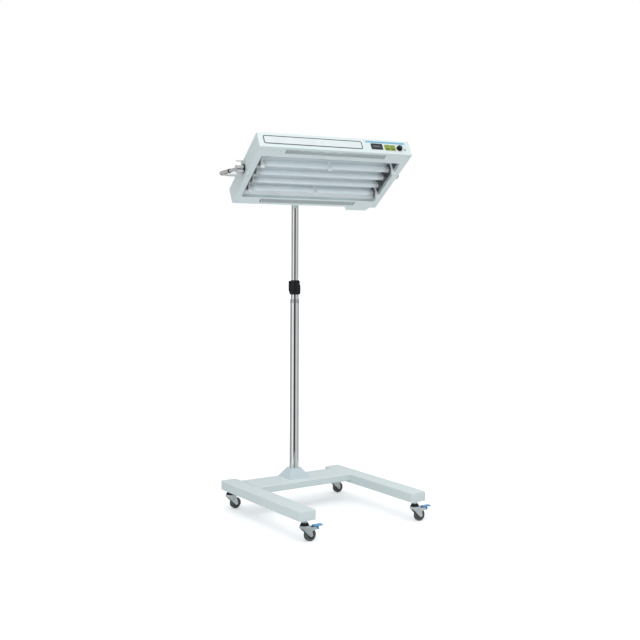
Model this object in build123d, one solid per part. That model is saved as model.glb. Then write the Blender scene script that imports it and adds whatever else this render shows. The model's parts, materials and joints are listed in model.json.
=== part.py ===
from build123d import *
from math import cos, radians, sin
import os

# Infant phototherapy unit: a lamp box in a U-shaped yoke on a telescopic mast,
# over a wheeled H base. Sizes are in millimetres and angles in degrees. While
# the pieces are made, the mast's axis is the Z axis, the floor is Z = 0 and the
# legs point to -Y. At the end everything moves to the middle of its own box.

# Shared allowances
overrun = 5.0
run_clearance = 0.06
part_clearance = 0.3
fit_clearance = 0.25

# Base frame
base_width = 640.0
leg_width = 78.0
leg_height = 40.0
leg_length = 660.0
leg_top = 130.0
leg_rear = 110.0
leg_sheet = 2.0
leg_corner = 11.0
leg_edge = 4.0
leg_floor_sheet = 3.0
beam_height = 30.0
beam_front = 103.0
beam_rear = 57.0
beam_lip = 16.0
beam_edge = 4.0

# Pyramid cover over the mast foot
foot_half = 56.0
foot_top_half = 26.0
foot_height = 42.0
foot_sheet = 1.5
foot_corner = 5.0

# Mast socket and its bolts
socket_half = 42.0
socket_corner = 8.0
socket_plate = 8.0
socket_collar = 26.0
socket_height = 30.0
socket_bolt_place = 33.0
socket_rib = 5.0
bolt_radius = 4.0
bolt_head_radius = 7.2
bolt_head = 5.3
bolt_nut = 6.5

# Telescopic mast
outer_tube_radius = 21.0
outer_tube_wall = 2.0
outer_tube_top = 923.0
mast_ring_height = 17.0
mast_ring_edge = 0.8
neck_radius = 18.5
neck_inside = 60.0
neck_overlap = 24.0
inner_tube_radius = 16.0
inner_tube_wall = 1.6
inner_tube_bottom = 560.0
bush_length = 40.0

# Clamp collar and its flip lever
collar_bottom = 960.0
collar_top = 1025.0
collar_lower_radius = 26.0
collar_lower_height = 45.0
collar_upper_radius = 23.0
collar_top_edge = 7.0
collar_bottom_edge = 5.0
collar_flat = 19.6
collar_split = 3.0
lever_angle = 146.0
lever_pin_radius = 1.8
lever_pin_out = 23.6
lever_pin_rise = 15.0
lever_boss_radius = 3.6
lever_boss_width = 8.0
lever_cheek = 2.6
lever_plate = 3.2
lever_height = 46.0
lever_outside = 28.6
lever_tip_edge = 1.4

# Yoke: hub on the mast, bent tube, arm ends and tilt clamps
head_turn = -9.4
pivot_height = 1485.0
yoke_depth = 268.0
yoke_side = 20.0
yoke_tube_radius = 8.0
yoke_tube_wall = 2.0
yoke_bend = 50.0
hub_radius = 23.0
hub_below = 58.0
hub_above = 15.0
hub_edge = 5.0
hub_seat_below = 17.0
hub_screw_radius = 4.0
hub_screw_below = 38.0
hub_knob_radius = 16.0
hub_knob_height = 15.0
hub_knob_lobes = 5
hub_knob_gap = 5.0
hub_knob_neck = 8.0
hub_knob_edge = 2.5
arm_rod_radius = 7.0
arm_rod_end = 117.0
arm_spigot = 28.0
ferrule_radius = 8.9
ferrule_front = 4.5
ferrule_rear = 2.0
clamp_above = 12.0
clamp_below = 17.0
clamp_front = 16.0
clamp_rear = 12.0
clamp_width = 28.0
clamp_edge = 5.0
clamp_slot = 6.0
clamp_slot_drop = 3.5
clamp_boss_radius = 9.5
clamp_boss_length = 26.0
eye_radius = 14.0
eye_width = 14.0
handle_screw_radius = 2.5
handle_screw_place = 11.0
handle_screw_inward = 8.0
handle_neck_radius = 4.2
handle_neck_height = 11.0
handle_bar_radius = 3.2
handle_bar_rise = 17.0
handle_bar_length = 31.0
handle_bar_slip = 10.0
handle_bar_edge = 1.2

# Lamp box. Local axes: X along the lamps, Y to the rear, Z out of the top.
head_tilt = 31.5
box_length = 684.0
box_width = 388.0
box_height = 71.0
box_sheet = 1.5
box_corner = 5.0
box_edge = 3.0
well_end_rim = 28.0
well_front_rim = 62.0
well_rear_rim = 48.0
well_corner = 6.0
well_flange = 13.0
vent_edge_gap = 12.0
vent_count = 41
vent_pitch = 11.0
vent_length = 27.0
vent_width = 5.0
top_vent_count = 16
top_vent_pitch = 14.0
top_vent_length = 60.0
top_vent_width = 5.0
top_vent_edge_gap = 46.0

# Reflector, lamps and lampholders
reflector_sheet = 1.0
reflector_depth = 46.0
reflector_slope = 24.0
end_plate_sheet = 1.2
lamp_radius = 13.0
lamp_glass_wall = 0.8
lamp_depth = 24.0
lamp_pitch = 56.0
lamp_front_gap = 73.5
lamp_rear_gap = 36.5
lamp_cap_length = 8.5
lamp_cap_wall = 0.6
lamp_cap_edge = 1.2
lamp_pin_radius = 1.2
lamp_pin_length = 7.0
lamp_pin_pitch = 12.7
holder_length = 19.7
holder_half_width = 11.0
ballast_length = 280.0
ballast_width = 42.0
ballast_height = 19.0
ballast_foot = 16.0
ballast_foot_sheet = 2.0
ballast_place = 52.0
ballast_edge = 2.0

# Clear cover, its posts and its ball knobs
cover_gap = 2.0
cover_sheet = 3.0
cover_recess = 1.0
cover_corner = 5.0
post_radius = 4.5
post_top_radius = 3.2
post_stud_radius = 2.5
post_end_gap = 17.0
knob_ball_radius = 9.5
knob_foot_radius = 6.5
knob_foot_height = 6.0
knob_height = 23.0

# Tilt trunnions
trunnion_length = 60.0
trunnion_width = 50.0
trunnion_sheet = 3.0
trunnion_edge = 8.0
pivot_radius = 6.0
disc_radius = 19.0
pivot_cap_radius = 8.0
pivot_cap_length = 7.0
pivot_cap_edge = 2.0

# Controls on the front face. End gaps are from the right end of the box.
counter_end_gap = 160.0
counter_drop = 2.5
counter_length = 52.0
counter_height = 28.0
counter_bezel = 3.0
counter_rim = 4.5
counter_body = 3.0
counter_body_depth = 34.0
counter_edge = 1.5
window_sheet = 1.0
switch_end_gap = 112.0
switch_pitch = 26.0
switch_drop = 5.0
switch_width = 24.0
switch_height = 27.0
switch_bezel = 2.5
switch_rim = 2.6
switch_body_depth = 20.0
switch_body_wall = 1.5
rocker_pivot_depth = 3.0
rocker_face = 6.0
rocker_dip = 4.4
rocker_back = 3.5
rocker_angle = 7.0
dial_end_gap = 55.0
dial_drop = 5.5
dial_radius = 10.0
dial_skirt_radius = 12.5
dial_skirt = 3.0
dial_height = 12.0
dial_edge = 1.2
dial_flutes = 8
dial_flute_radius = 1.8
dial_shaft_radius = 3.0
dial_bush_radius = 5.0
dial_gap = 0.5
dial_body_radius = 13.0
dial_body_depth = 22.0

# Mains box on the rear face
mains_end_gap = 28.0
mains_length = 124.0
mains_depth = 24.0
mains_height = 52.0
mains_bevel = 13.0
gland_place = 36.0
gland_rise = 26.0
gland_bore = 3.6
gland_mouth_radius = 5.4
gland_radius = 9.0
gland_nut_height = 5.0
gland_dome = 9.0
gland_thread_radius = 7.5
gland_inside = 6.0

# Swivel casters. Local axes: stem on Z, wheel trailing to +X.
caster_front_place = 28.5
caster_rear_place = 20.0
wheel_radius = 25.0
wheel_trail = 25.0
tyre_width = 18.0
tyre_depth = 8.0
tyre_edge = 2.5
hub_boss_radius = 7.0
hub_web = 3.0
hub_rim = 2.5
axle_radius = 4.0
axle_head_radius = 6.0
axle_head = 1.8
fork_gap = 11.0
fork_sheet = 2.0
fork_crown_top = 59.0
fork_back = 18.0
fork_front = 24.0
fork_boss = 8.0
race_radius = 21.0
race_height = 7.0
race_edge = 2.0
stem_radius = 6.0
stem_head_radius = 9.0
stem_head = 2.7
dust_cap_radius = 19.5
dust_cap_top_radius = 13.5
dust_cap_height = 11.0
stem_collar_radius = 10.5
stem_above = 16.0
stem_nut_radius = 9.5
stem_nut = 8.0

# Brake pedals of the front casters
pedal_pivot_out = 45.0
pedal_pivot_up = 50.0
pedal_pin_radius = 3.0
pedal_ear_radius = 5.5
pedal_hub_radius = 5.6
pedal_plate_gap = 6.8
pedal_plate = 4.5
pedal_left = 7.0
pedal_right = 38.0
pedal_half_width = 11.5
pedal_edge = 2.0
pedal_boss_out = 14.0
pedal_boss_drop = 2.0
pedal_boss_radius = 4.5
brake_gap = 1.8
brake_first_angle = 38.0
brake_last_angle = 52.0
brake_half_width = 7.5

# Worked out from the sizes above
leg_bottom = leg_top - leg_height
leg_front = leg_rear - leg_length
leg_inner = base_width / 2 - leg_width
leg_centre = base_width / 2 - leg_width / 2
mast_bottom = leg_top
inner_tube_top = pivot_height - hub_seat_below
neck_bottom = outer_tube_top - neck_inside
mast_bore = inner_tube_radius + run_clearance
half_length = box_length / 2
half_width = box_width / 2
half_height = box_height / 2
underside = -half_height
well_half_length = half_length - well_end_rim
well_front = half_width - well_front_rim
well_rear = half_width - well_rear_rim
lamp_level = underside + lamp_depth
lamp_half_length = well_half_length - holder_length - part_clearance
lamp_room = well_front + well_rear - lamp_front_gap - lamp_rear_gap
lamp_count = 1 + int((lamp_room + lamp_radius) / lamp_pitch)
reflector_level = underside + reflector_depth
flange_top = underside + box_sheet + well_flange
arm_middle = half_length + yoke_side
handle_place = arm_middle - handle_screw_inward
disc_thickness = yoke_side - clamp_width / 2 - part_clearance
counter_place = half_length - counter_end_gap
dial_place = half_length - dial_end_gap
mains_right = half_length - mains_end_gap
mains_left = mains_right - mains_length
wheel_gap = fork_gap - part_clearance


def block(x, y, z):
    """A box between two values on each axis."""
    size = Box(x[1] - x[0], y[1] - y[0], z[1] - z[0])
    return Pos((x[0] + x[1]) / 2, (y[0] + y[1]) / 2, (z[0] + z[1]) / 2) * size


def rounded_block(x, y, z, corner, edge=0):
    """A box with round upright corners and, if asked for, a round top edge."""
    solid = block(x, y, z)
    solid = fillet(solid.edges().filter_by(Axis.Z), corner)
    if edge:
        solid = fillet(solid.faces().sort_by(Axis.Z)[-1].edges(), edge)
    return solid


def open_shell(x, y, z, corner, edge, sheet):
    """A folded sheet box, open below."""
    outer = rounded_block(x, y, z, corner, edge)
    inner = rounded_block(
        (x[0] + sheet, x[1] - sheet),
        (y[0] + sheet, y[1] - sheet),
        (z[0] - overrun, z[1] - sheet),
        corner - sheet,
        edge - sheet,
    )
    return outer - inner


def turned(points):
    """A turned piece from its half profile of radius and height."""
    return revolve(Plane.XZ * make_face(Polyline(*points, close=True)), Axis.Z)


def pipe(radius, bore, bottom, top):
    return turned([(bore, bottom), (radius, bottom), (radius, top), (bore, top)])


def rod(radius, bottom, top):
    return Pos(0, 0, (bottom + top) / 2) * Cylinder(radius, top - bottom)


def along_x(solid):
    """Turn a piece made on Z so that its axis runs to +X."""
    return Rot(0, 90, 0) * solid


def along_y(solid):
    """Turn a piece made on Z so that its axis runs to +Y."""
    return Rot(-90, 0, 0) * solid


def hexagon(radius, bottom, top):
    return Pos(0, 0, bottom) * extrude(RegularPolygon(radius, 6), top - bottom)


def joined(pieces):
    whole = pieces[0]
    for piece in pieces[1:]:
        whole = whole + piece
    return whole


def group(pieces):
    """Separate pieces of one kind, kept in one node."""
    return Compound([solid for piece in pieces for solid in piece.solids()])


def stem_places():
    """Stem position and front or rear of each caster."""
    front = leg_front + caster_front_place
    rear = leg_rear - caster_rear_place
    return {
        "front_left": (-leg_centre, front),
        "front_right": (leg_centre, front),
        "rear_left": (-leg_centre, rear),
        "rear_right": (leg_centre, rear),
    }


# Base frame


def leg(side):
    low, high = sorted((side * leg_inner, side * base_width / 2))
    return open_shell(
        (low, high), (leg_front, leg_rear), (leg_bottom, leg_top), leg_corner, leg_edge, leg_sheet
    )


def leg_floors():
    """Plates that close the legs below and carry the caster stems."""
    plates = []
    for side in (-1, 1):
        low, high = sorted((side * leg_inner, side * base_width / 2))
        inset = leg_sheet + fit_clearance
        plate = rounded_block(
            (low + inset, high - inset),
            (leg_front + inset, leg_rear - inset),
            (leg_bottom, leg_bottom + leg_floor_sheet),
            leg_corner - inset,
        )
        for x, y in stem_places().values():
            if x * side > 0:
                plate -= Pos(x, y) * rod(stem_radius, leg_bottom - overrun, leg_top)
        plates.append(plate)
    return group(plates)


def cross_beam():
    """A folded channel between the legs with its lips turned in below."""
    bottom = leg_top - beam_height
    width = beam_front + beam_rear
    middle = (beam_rear - beam_front) / 2
    outer = RectangleRounded(width, beam_height, beam_edge)
    inner = RectangleRounded(width - leg_sheet * 2, beam_height - leg_sheet * 2, beam_edge - leg_sheet)
    mouth = Pos(0, -beam_height / 2) * Rectangle(width - beam_lip * 2, leg_sheet + overrun)
    section = Pos(middle, (bottom + leg_top) / 2) * (outer - inner - mouth)
    beam = extrude(Plane.YZ * section, leg_inner, both=True)
    for x, y in bolt_places():
        beam -= Pos(x, y) * rod(bolt_radius, bottom, leg_top + overrun)
    return beam


def bolt_places():
    return [(i * socket_bolt_place, j * socket_bolt_place) for i in (-1, 1) for j in (-1, 1)]


def foot_cover():
    """A hollow four-sided pyramid with its top cut flat round the mast."""

    def square(level, half):
        flat = Rectangle(half * 2, half * 2)
        return Plane.XY.offset(level) * chamfer(flat.vertices(), foot_corner)

    def tapered(inset):
        top = leg_top + foot_height - inset
        return loft([square(leg_top, foot_half - inset), square(top, foot_top_half - inset)])

    hole = rod(outer_tube_radius + part_clearance, leg_top, leg_top + foot_height + overrun)
    return tapered(0) - tapered(foot_sheet) - hole


def mast_socket():
    """Flange plate, collar and four ribs that hold the mast on the beam."""
    plate_top = leg_top + socket_plate
    top = leg_top + socket_height
    plate = rounded_block(
        (-socket_half, socket_half), (-socket_half, socket_half), (leg_top, plate_top), socket_corner
    )
    socket = plate + rod(socket_collar, leg_top, top)
    for turn in range(4):
        profile = Polyline(
            (outer_tube_radius, plate_top - socket_rib),
            (socket_half - socket_rib, plate_top - socket_rib),
            (socket_half - socket_rib, plate_top),
            (socket_collar, top - socket_rib),
            (outer_tube_radius, top - socket_rib),
            close=True,
        )
        rib = extrude(Plane.XZ * make_face(profile), socket_rib / 2, both=True)
        socket += Rot(0, 0, 90 * turn) * rib
    socket -= rod(outer_tube_radius, leg_top - overrun, top + overrun)
    for x, y in bolt_places():
        socket -= Pos(x, y) * rod(bolt_radius, leg_top - overrun, plate_top + overrun)
    return socket


def base_bolts():
    """Four hexagon bolts and nuts through the flange and the beam."""
    head = leg_top + socket_plate
    below = leg_top - leg_sheet
    bolts = []
    for x, y in bolt_places():
        bolt = (
            hexagon(bolt_head_radius, head, head + bolt_head)
            + rod(bolt_radius, below - bolt_nut - leg_sheet, head)
            + hexagon(bolt_head_radius, below - bolt_nut, below)
        )
        bolts.append(Pos(x, y) * bolt)
    return group(bolts)


# Mast


def mast_outer_tube():
    return pipe(outer_tube_radius, outer_tube_radius - outer_tube_wall, mast_bottom, outer_tube_top)


def mast_ring():
    """Pressed ring that closes the gap between the tube's mouth and the neck."""
    ring = pipe(outer_tube_radius, neck_radius, outer_tube_top, outer_tube_top + mast_ring_height)
    outline = ring.edges().filter_by(GeomType.CIRCLE).filter_by(lambda e: e.radius > neck_radius)
    return chamfer(outline, mast_ring_edge)


def neck_sleeve():
    """Reducing sleeve: its lower half is pressed into the outer tube."""
    inside = outer_tube_radius - outer_tube_wall
    top = collar_bottom + neck_overlap
    return turned(
        [
            (mast_bore, neck_bottom),
            (inside, neck_bottom),
            (inside, outer_tube_top),
            (neck_radius, outer_tube_top),
            (neck_radius, top),
            (mast_bore, top),
        ]
    )


def facing_lever(solid):
    """Turn a piece made towards +X to the lever's side of the mast."""
    return Rot(0, 0, lever_angle) * solid


def clamp_collar():
    """Moulded clamp: wide below, narrow and split above, flat under its lever."""
    shoulder = collar_bottom + collar_lower_height
    body = rod(collar_lower_radius, collar_bottom, shoulder)
    body = chamfer(body.edges().sort_by(Axis.Z)[0], collar_bottom_edge)
    body = chamfer(body.edges().sort_by(Axis.Z)[-1], collar_lower_radius - collar_upper_radius - fit_clearance)
    crown = rod(collar_upper_radius, shoulder - overrun, collar_top)
    crown = fillet(crown.edges().sort_by(Axis.Z)[-1], collar_top_edge - part_clearance)
    body += crown
    pin_level = collar_bottom + lever_pin_rise
    reach = lever_boss_width / 2 + lever_cheek + part_clearance + part_clearance
    pocket = block(
        (collar_flat, collar_lower_radius + overrun),
        (-reach, reach),
        (collar_bottom - overrun, collar_top + overrun),
    )
    body -= facing_lever(pocket)
    boss = extrude(
        Plane.XZ
        * (
            Pos(lever_pin_out, pin_level) * Circle(lever_boss_radius)
            + Pos((collar_flat + lever_pin_out) / 2 - fit_clearance, pin_level)
            * Rectangle(lever_pin_out - collar_flat + fit_clearance, lever_boss_radius + lever_boss_radius)
        ),
        lever_boss_width / 2,
        both=True,
    )
    body += facing_lever(boss)
    bore = rod(mast_bore, collar_bottom - overrun, collar_top + overrun)
    counterbore = rod(neck_radius, collar_bottom - overrun, collar_bottom + neck_overlap)
    split = block(
        (0, collar_lower_radius + overrun),
        (-collar_split / 2, collar_split / 2),
        (pin_level + lever_boss_radius + collar_split, collar_top + overrun),
    )
    body -= facing_lever(split)
    body -= bore
    body -= counterbore
    return body - facing_lever(Pos(lever_pin_out, 0, pin_level) * along_y(lever_pin_shape(0)))


def lever_pin_shape(clearance):
    half = lever_boss_width / 2 + lever_cheek + part_clearance
    return rod(lever_pin_radius + clearance, -half, half)


def lever_pin():
    pin_level = collar_bottom + lever_pin_rise
    return facing_lever(Pos(lever_pin_out, 0, pin_level) * along_y(lever_pin_shape(0)))


def collar_lever():
    """Flip lever: two cheeks on the pin, joined by a grip plate above it."""
    pin_level = collar_bottom + lever_pin_rise
    inner = lever_boss_width / 2 + part_clearance
    outer = inner + lever_cheek
    top = pin_level + lever_height
    back = collar_flat + lever_tip_edge
    cheek_radius = lever_pin_out - collar_flat - part_clearance
    cheek = make_hull(
        (Pos(lever_pin_out, pin_level) * Circle(cheek_radius)).edges()
        + Polyline((back, top), (lever_outside, top), (lever_outside, pin_level + cheek_radius)).edges()
    )
    lever = extrude(Plane.XZ * cheek, outer, both=True)
    outline = lever.edges().filter_by(Axis.Z).group_by(Axis.X)[-1]
    lever = fillet(outline, lever_tip_edge)
    lever -= block(
        (collar_flat, lever_outside - lever_plate), (-inner, inner), (pin_level - overrun, top + overrun)
    )
    lever -= block(
        (collar_flat - overrun, lever_outside + overrun),
        (-inner, inner),
        (pin_level - cheek_radius - overrun, pin_level + lever_boss_radius + lever_tip_edge),
    )
    lever -= Pos(lever_pin_out, 0, pin_level) * along_y(lever_pin_shape(run_clearance))
    return facing_lever(lever)


def mast_inner_tube():
    return pipe(inner_tube_radius, inner_tube_radius - inner_tube_wall, inner_tube_bottom, inner_tube_top)


def slide_bush():
    """Plastic foot on the inner tube that slides in the outer tube."""
    outside = outer_tube_radius - outer_tube_wall - run_clearance
    return pipe(outside, inner_tube_radius, inner_tube_bottom, inner_tube_bottom + bush_length)


# Yoke. Local axes: mast on Z, lamp box pivot line at Y = -yoke_depth, Z = 0.


def on_mast_head(solid):
    return Pos(0, 0, pivot_height) * Rot(0, 0, head_turn) * solid


def yoke_line():
    side = arm_middle
    front = arm_rod_end - yoke_depth
    return FilletPolyline((-side, front), (-side, 0), (side, 0), (side, front), radius=yoke_bend)


def yoke_tube():
    """One tube with a bend at each rear corner."""
    path = yoke_line()
    start = Plane(origin=path @ 0, z_dir=path % 0)
    outer = sweep(start * Circle(yoke_tube_radius), path)
    inner = sweep(start * Circle(yoke_tube_radius - yoke_tube_wall), path)
    return outer - inner


def yoke_hub():
    """Cap that turns on the mast and carries the yoke tube crosswise."""
    body = rod(hub_radius, -hub_below, hub_above)
    body = fillet(body.edges().sort_by(Axis.Z)[-1], hub_edge)
    body = chamfer(body.edges().sort_by(Axis.Z)[0], hub_edge / 2)
    body -= rod(mast_bore, -hub_below - overrun, -hub_seat_below)
    body -= along_x(rod(yoke_tube_radius, -hub_radius - overrun, hub_radius + overrun))
    screw = along_y(rod(hub_screw_radius + run_clearance, 0, hub_radius + overrun))
    return body - Pos(0, 0, -hub_screw_below) * screw


def hub_knob():
    """Lobed hand screw that locks the yoke's turn."""
    start = hub_radius + hub_knob_gap
    end = start + hub_knob_height
    grip = rod(hub_knob_radius, start, end)
    grip = chamfer(grip.edges().filter_by(GeomType.CIRCLE), hub_knob_edge)
    for lobe in range(hub_knob_lobes):
        angle = radians(360 / hub_knob_lobes * lobe)
        away = hub_knob_radius + hub_screw_radius
        groove = rod(hub_knob_neck, start - overrun, end + overrun)
        grip -= Pos(away * cos(angle), away * sin(angle)) * groove
    knob = grip + rod(hub_knob_neck, hub_radius + part_clearance, start + hub_knob_gap)
    knob += rod(hub_screw_radius, mast_bore + part_clearance, start + hub_knob_gap)
    return Pos(0, 0, -hub_screw_below) * along_y(knob)


def arm_rod():
    """Rod of an arm with its tapered boss and the spigot that enters the tube."""
    start = clamp_rear - yoke_depth
    end = arm_rod_end - yoke_depth
    spigot = yoke_tube_radius - yoke_tube_wall
    boss = Cone(clamp_boss_radius, arm_rod_radius, clamp_boss_length)
    arm = Pos(0, start + clamp_boss_length / 2) * along_y(boss)
    arm += along_y(rod(arm_rod_radius, start, end))
    return arm + along_y(rod(spigot, end, end + arm_spigot))


def yoke_arm_left():
    """Arm end that clamps the trunnion: a split block with a rod behind it."""
    half = clamp_width / 2
    low = -yoke_depth - clamp_front
    clamp = block((-half, half), (low, clamp_rear - yoke_depth), (-clamp_below, clamp_above))
    clamp = fillet(clamp.edges().filter_by(Axis.X), clamp_edge)
    slot = block(
        (-half - overrun, half + overrun),
        (low - overrun, -yoke_depth),
        (-clamp_slot_drop - clamp_slot / 2, -clamp_slot_drop + clamp_slot / 2),
    )
    bore = along_x(rod(pivot_radius + run_clearance, -half - overrun, half + overrun))
    screw = rod(handle_screw_radius + run_clearance, -clamp_below - overrun, clamp_above + overrun)
    arm = clamp + arm_rod() - slot - Pos(0, -yoke_depth) * bore
    arm -= Pos(handle_screw_inward, -yoke_depth - handle_screw_place) * screw
    return Pos(-arm_middle) * arm


def yoke_arm_right():
    """Arm end with a plain eye and a spacer that bears on the friction disc."""
    half = eye_width / 2
    inner = yoke_side - disc_thickness - part_clearance
    eye = rod(eye_radius, -half, half) + rod(clamp_boss_radius, -inner, half)
    eye += block((-clamp_boss_radius, clamp_boss_radius), (0, eye_radius), (-half, half))
    eye -= rod(pivot_radius + run_clearance, -inner - overrun, half + overrun)
    bore = along_x(rod(pivot_radius + run_clearance, -inner - overrun, half + overrun))
    return Pos(arm_middle) * (Pos(0, -yoke_depth) * along_x(eye) + arm_rod() - Pos(0, -yoke_depth) * bore)


def yoke_ferrules():
    """Rings over the joints between the tube and the rods."""
    ring = rod(ferrule_radius, -ferrule_front, ferrule_rear)
    ring -= rod(arm_rod_radius, -ferrule_front - overrun, 0)
    ring -= rod(yoke_tube_radius, 0, ferrule_rear + overrun)
    ring = along_y(ring)
    return group([Pos(side * arm_middle, arm_rod_end - yoke_depth) * ring for side in (-1, 1)])


def tilt_handle():
    """Clamp screw with a sliding cross bar on top, slid outward."""
    top = clamp_above + part_clearance
    bar_level = clamp_above + handle_bar_rise
    handle = rod(handle_screw_radius, -clamp_below, bar_level)
    handle += rod(handle_neck_radius, top, top + handle_neck_height)
    bar = rod(handle_bar_radius, -handle_bar_length / 2, handle_bar_length / 2)
    bar = chamfer(bar.edges().filter_by(GeomType.CIRCLE), handle_bar_edge)
    handle += Pos(-handle_bar_slip, 0, bar_level) * along_x(bar)
    return Pos(-handle_place, -yoke_depth - handle_screw_place) * handle


# Lamp box


def on_pivot(solid):
    """Tilt a lamp box piece, hang it on the pivot line and turn it with the yoke."""
    return on_mast_head(Pos(0, -yoke_depth) * Rot(-head_tilt, 0, 0) * solid)


def on_front(solid, place, drop):
    """Set a piece made along Z, outward up, on the box's front face."""
    return Pos(place, -half_width, -drop) * Rot(90, 0, 0) * solid


def slot_row(count, pitch, length, width):
    """A row of straight slots along X, each slot along Y."""
    return Sketch() + GridLocations(pitch, length, count, 1) * Rectangle(width, length)


def switch_places():
    first = half_length - switch_end_gap
    return [first, first + switch_pitch]


def housing():
    """Folded top pan with the cut-outs for the controls, pivots and air."""
    shell = open_shell(
        (-half_length, half_length),
        (-half_width, half_width),
        (-half_height, half_height),
        box_corner,
        box_edge,
        box_sheet,
    )
    depth = box_sheet + overrun
    counter = Box(counter_length - counter_body * 2, counter_height - counter_body * 2, depth * 2)
    shell -= on_front(counter, counter_place, counter_drop)
    for place in switch_places():
        shell -= on_front(switch_body_block(depth), place, switch_drop)
    shell -= on_front(rod(dial_bush_radius, -depth, depth), dial_place, dial_drop)
    pivot = rod(pivot_radius, -half_length - overrun, half_length + overrun)
    shell -= along_x(pivot)
    gland = Pos(mains_left + gland_place, half_width, underside + gland_rise)
    shell -= gland * along_y(rod(gland_radius, -depth, depth))
    row = slot_row(top_vent_count, top_vent_pitch, top_vent_length, top_vent_width)
    place = half_width - top_vent_edge_gap - top_vent_length / 2
    for side in (-1, 1):
        vents = extrude(Pos(0, side * place) * row, depth)
        shell -= Pos(0, 0, half_height - depth / 2) * vents
    return shell


def underside_panel():
    """Sheet set in flush below, with the lamp opening and two rows of air slots."""
    inside_x = half_length - box_sheet
    inside_y = half_width - box_sheet
    plate = rounded_block(
        (-inside_x, inside_x),
        (-inside_y, inside_y),
        (underside, underside + box_sheet),
        box_corner - box_sheet,
    )
    rim = rounded_block(
        (-well_half_length - box_sheet, well_half_length + box_sheet),
        (-well_front - box_sheet, well_rear + box_sheet),
        (underside, flange_top),
        well_corner + box_sheet,
    )
    well = rounded_block(
        (-well_half_length, well_half_length),
        (-well_front, well_rear),
        (underside - overrun, flange_top + overrun),
        well_corner,
    )
    panel = plate + rim - well
    row = slot_row(vent_count, vent_pitch, vent_length, vent_width)
    place = half_width - vent_edge_gap - vent_length / 2
    slots = Pos(0, -place) * row + Pos(0, place) * row
    return panel - Pos(0, 0, underside - overrun) * extrude(slots, box_sheet + overrun + overrun)


def channel_face(grow):
    """Section of the reflector channel, open below, grown outward by one sheet."""
    front = -well_front - grow
    rear = well_rear + grow
    top = reflector_level + grow
    return make_face(
        Polyline(
            (front, flange_top),
            (front + reflector_slope, top),
            (rear - reflector_slope, top),
            (rear, flange_top),
            close=True,
        )
    )


def reflector():
    """White folded channel over the lamps."""
    section = channel_face(reflector_sheet) - channel_face(0)
    return extrude(Plane.YZ * section, well_half_length, both=True)


def end_plates():
    """Plates that close the reflector's ends and carry the lampholders."""
    plate = extrude(Plane.YZ * channel_face(reflector_sheet), end_plate_sheet)
    right = Pos(well_half_length) * plate
    return group([right, mirror(right, Plane.YZ)])


def lamp_places():
    spare = lamp_room - lamp_pitch * (lamp_count - 1)
    first = lamp_front_gap - well_front + spare / 2
    return [first + lamp_pitch * lamp for lamp in range(lamp_count)]


def pin_places():
    return (-lamp_pin_pitch / 2, lamp_pin_pitch / 2)


def lampholders():
    """Upright holders at both ends of each lamp, with holes for its two pins."""
    start = lamp_half_length + part_clearance
    outline = Pos(0, lamp_level) * Circle(holder_half_width)
    outline += Pos(0, (lamp_level + reflector_level) / 2) * Rectangle(
        holder_half_width * 2, reflector_level - lamp_level
    )
    holder = extrude(Plane.YZ * outline, holder_length)
    for pin in pin_places():
        hole = along_x(rod(lamp_pin_radius, -overrun, lamp_pin_length + fit_clearance))
        holder -= Pos(0, pin, lamp_level) * hole
    right = [Pos(start, place) * holder for place in lamp_places()]
    return group(right + [mirror(piece, Plane.YZ) for piece in right])


def lamp_tubes():
    """Glass tubes of the fluorescent lamps."""
    half = lamp_half_length - lamp_cap_length
    outside = lamp_radius - lamp_cap_wall
    glass = along_x(pipe(outside, outside - lamp_glass_wall, -half, half))
    return group([Pos(0, place, lamp_level) * glass for place in lamp_places()])


def lamp_end_caps():
    """Metal caps with two contact pins on each lamp end."""
    end = lamp_half_length
    cap = rod(lamp_radius, end - lamp_cap_length, end)
    cap = along_x(chamfer(cap.edges().sort_by(Axis.Z)[-1], lamp_cap_edge))
    for pin in pin_places():
        cap += Pos(0, pin) * along_x(rod(lamp_pin_radius, end - lamp_pin_radius, end + lamp_pin_length))
    right = [Pos(0, place, lamp_level) * cap for place in lamp_places()]
    return group(right + [mirror(piece, Plane.YZ) for piece in right])


def ballasts():
    """Two ballasts under the top sheet, each with a foot at either end."""
    top = half_height - box_sheet
    body = rounded_block(
        (-ballast_length / 2, ballast_length / 2),
        (-ballast_width / 2, ballast_width / 2),
        (top - ballast_height, top),
        ballast_edge,
    )
    body = fillet(body.faces().sort_by(Axis.Z)[0].edges(), ballast_edge / 2)
    feet = block(
        (-ballast_length / 2 - ballast_foot, ballast_length / 2 + ballast_foot),
        (-ballast_width / 2 + ballast_edge, ballast_width / 2 - ballast_edge),
        (top - ballast_foot_sheet, top),
    )
    ballast = body + feet
    return group([Pos(0, side * ballast_place) * ballast for side in (-1, 1)])


def post_places():
    """Three posts before the first lamp and three before the last one."""
    lamps = lamp_places()
    rows = (lamps[0] - lamp_pitch / 2, lamps[-1] - lamp_pitch / 2)
    end = well_half_length - post_end_gap
    return [(x, y) for x in (-end, 0, end) for y in rows]


def cover_levels():
    outside = underside + cover_recess
    return outside, outside + cover_sheet


def clear_cover():
    """Clear sheet that lies in the lamp opening on the six posts."""
    outside, inside = cover_levels()
    sheet = rounded_block(
        (-well_half_length + cover_gap, well_half_length - cover_gap),
        (-well_front + cover_gap, well_rear - cover_gap),
        (outside, inside),
        cover_corner,
    )
    for x, y in post_places():
        sheet -= Pos(x, y) * rod(post_stud_radius, outside - overrun, inside + overrun)
    return sheet


def cover_posts():
    """Tapered posts from the reflector with studs through the cover."""
    outside, inside = cover_levels()
    tip = outside - knob_height / 2
    post = turned(
        [
            (0, tip),
            (post_stud_radius, tip),
            (post_stud_radius, inside),
            (post_radius, inside),
            (post_top_radius, reflector_level),
            (0, reflector_level),
        ]
    )
    return group([Pos(x, y) * post for x, y in post_places()])


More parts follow.
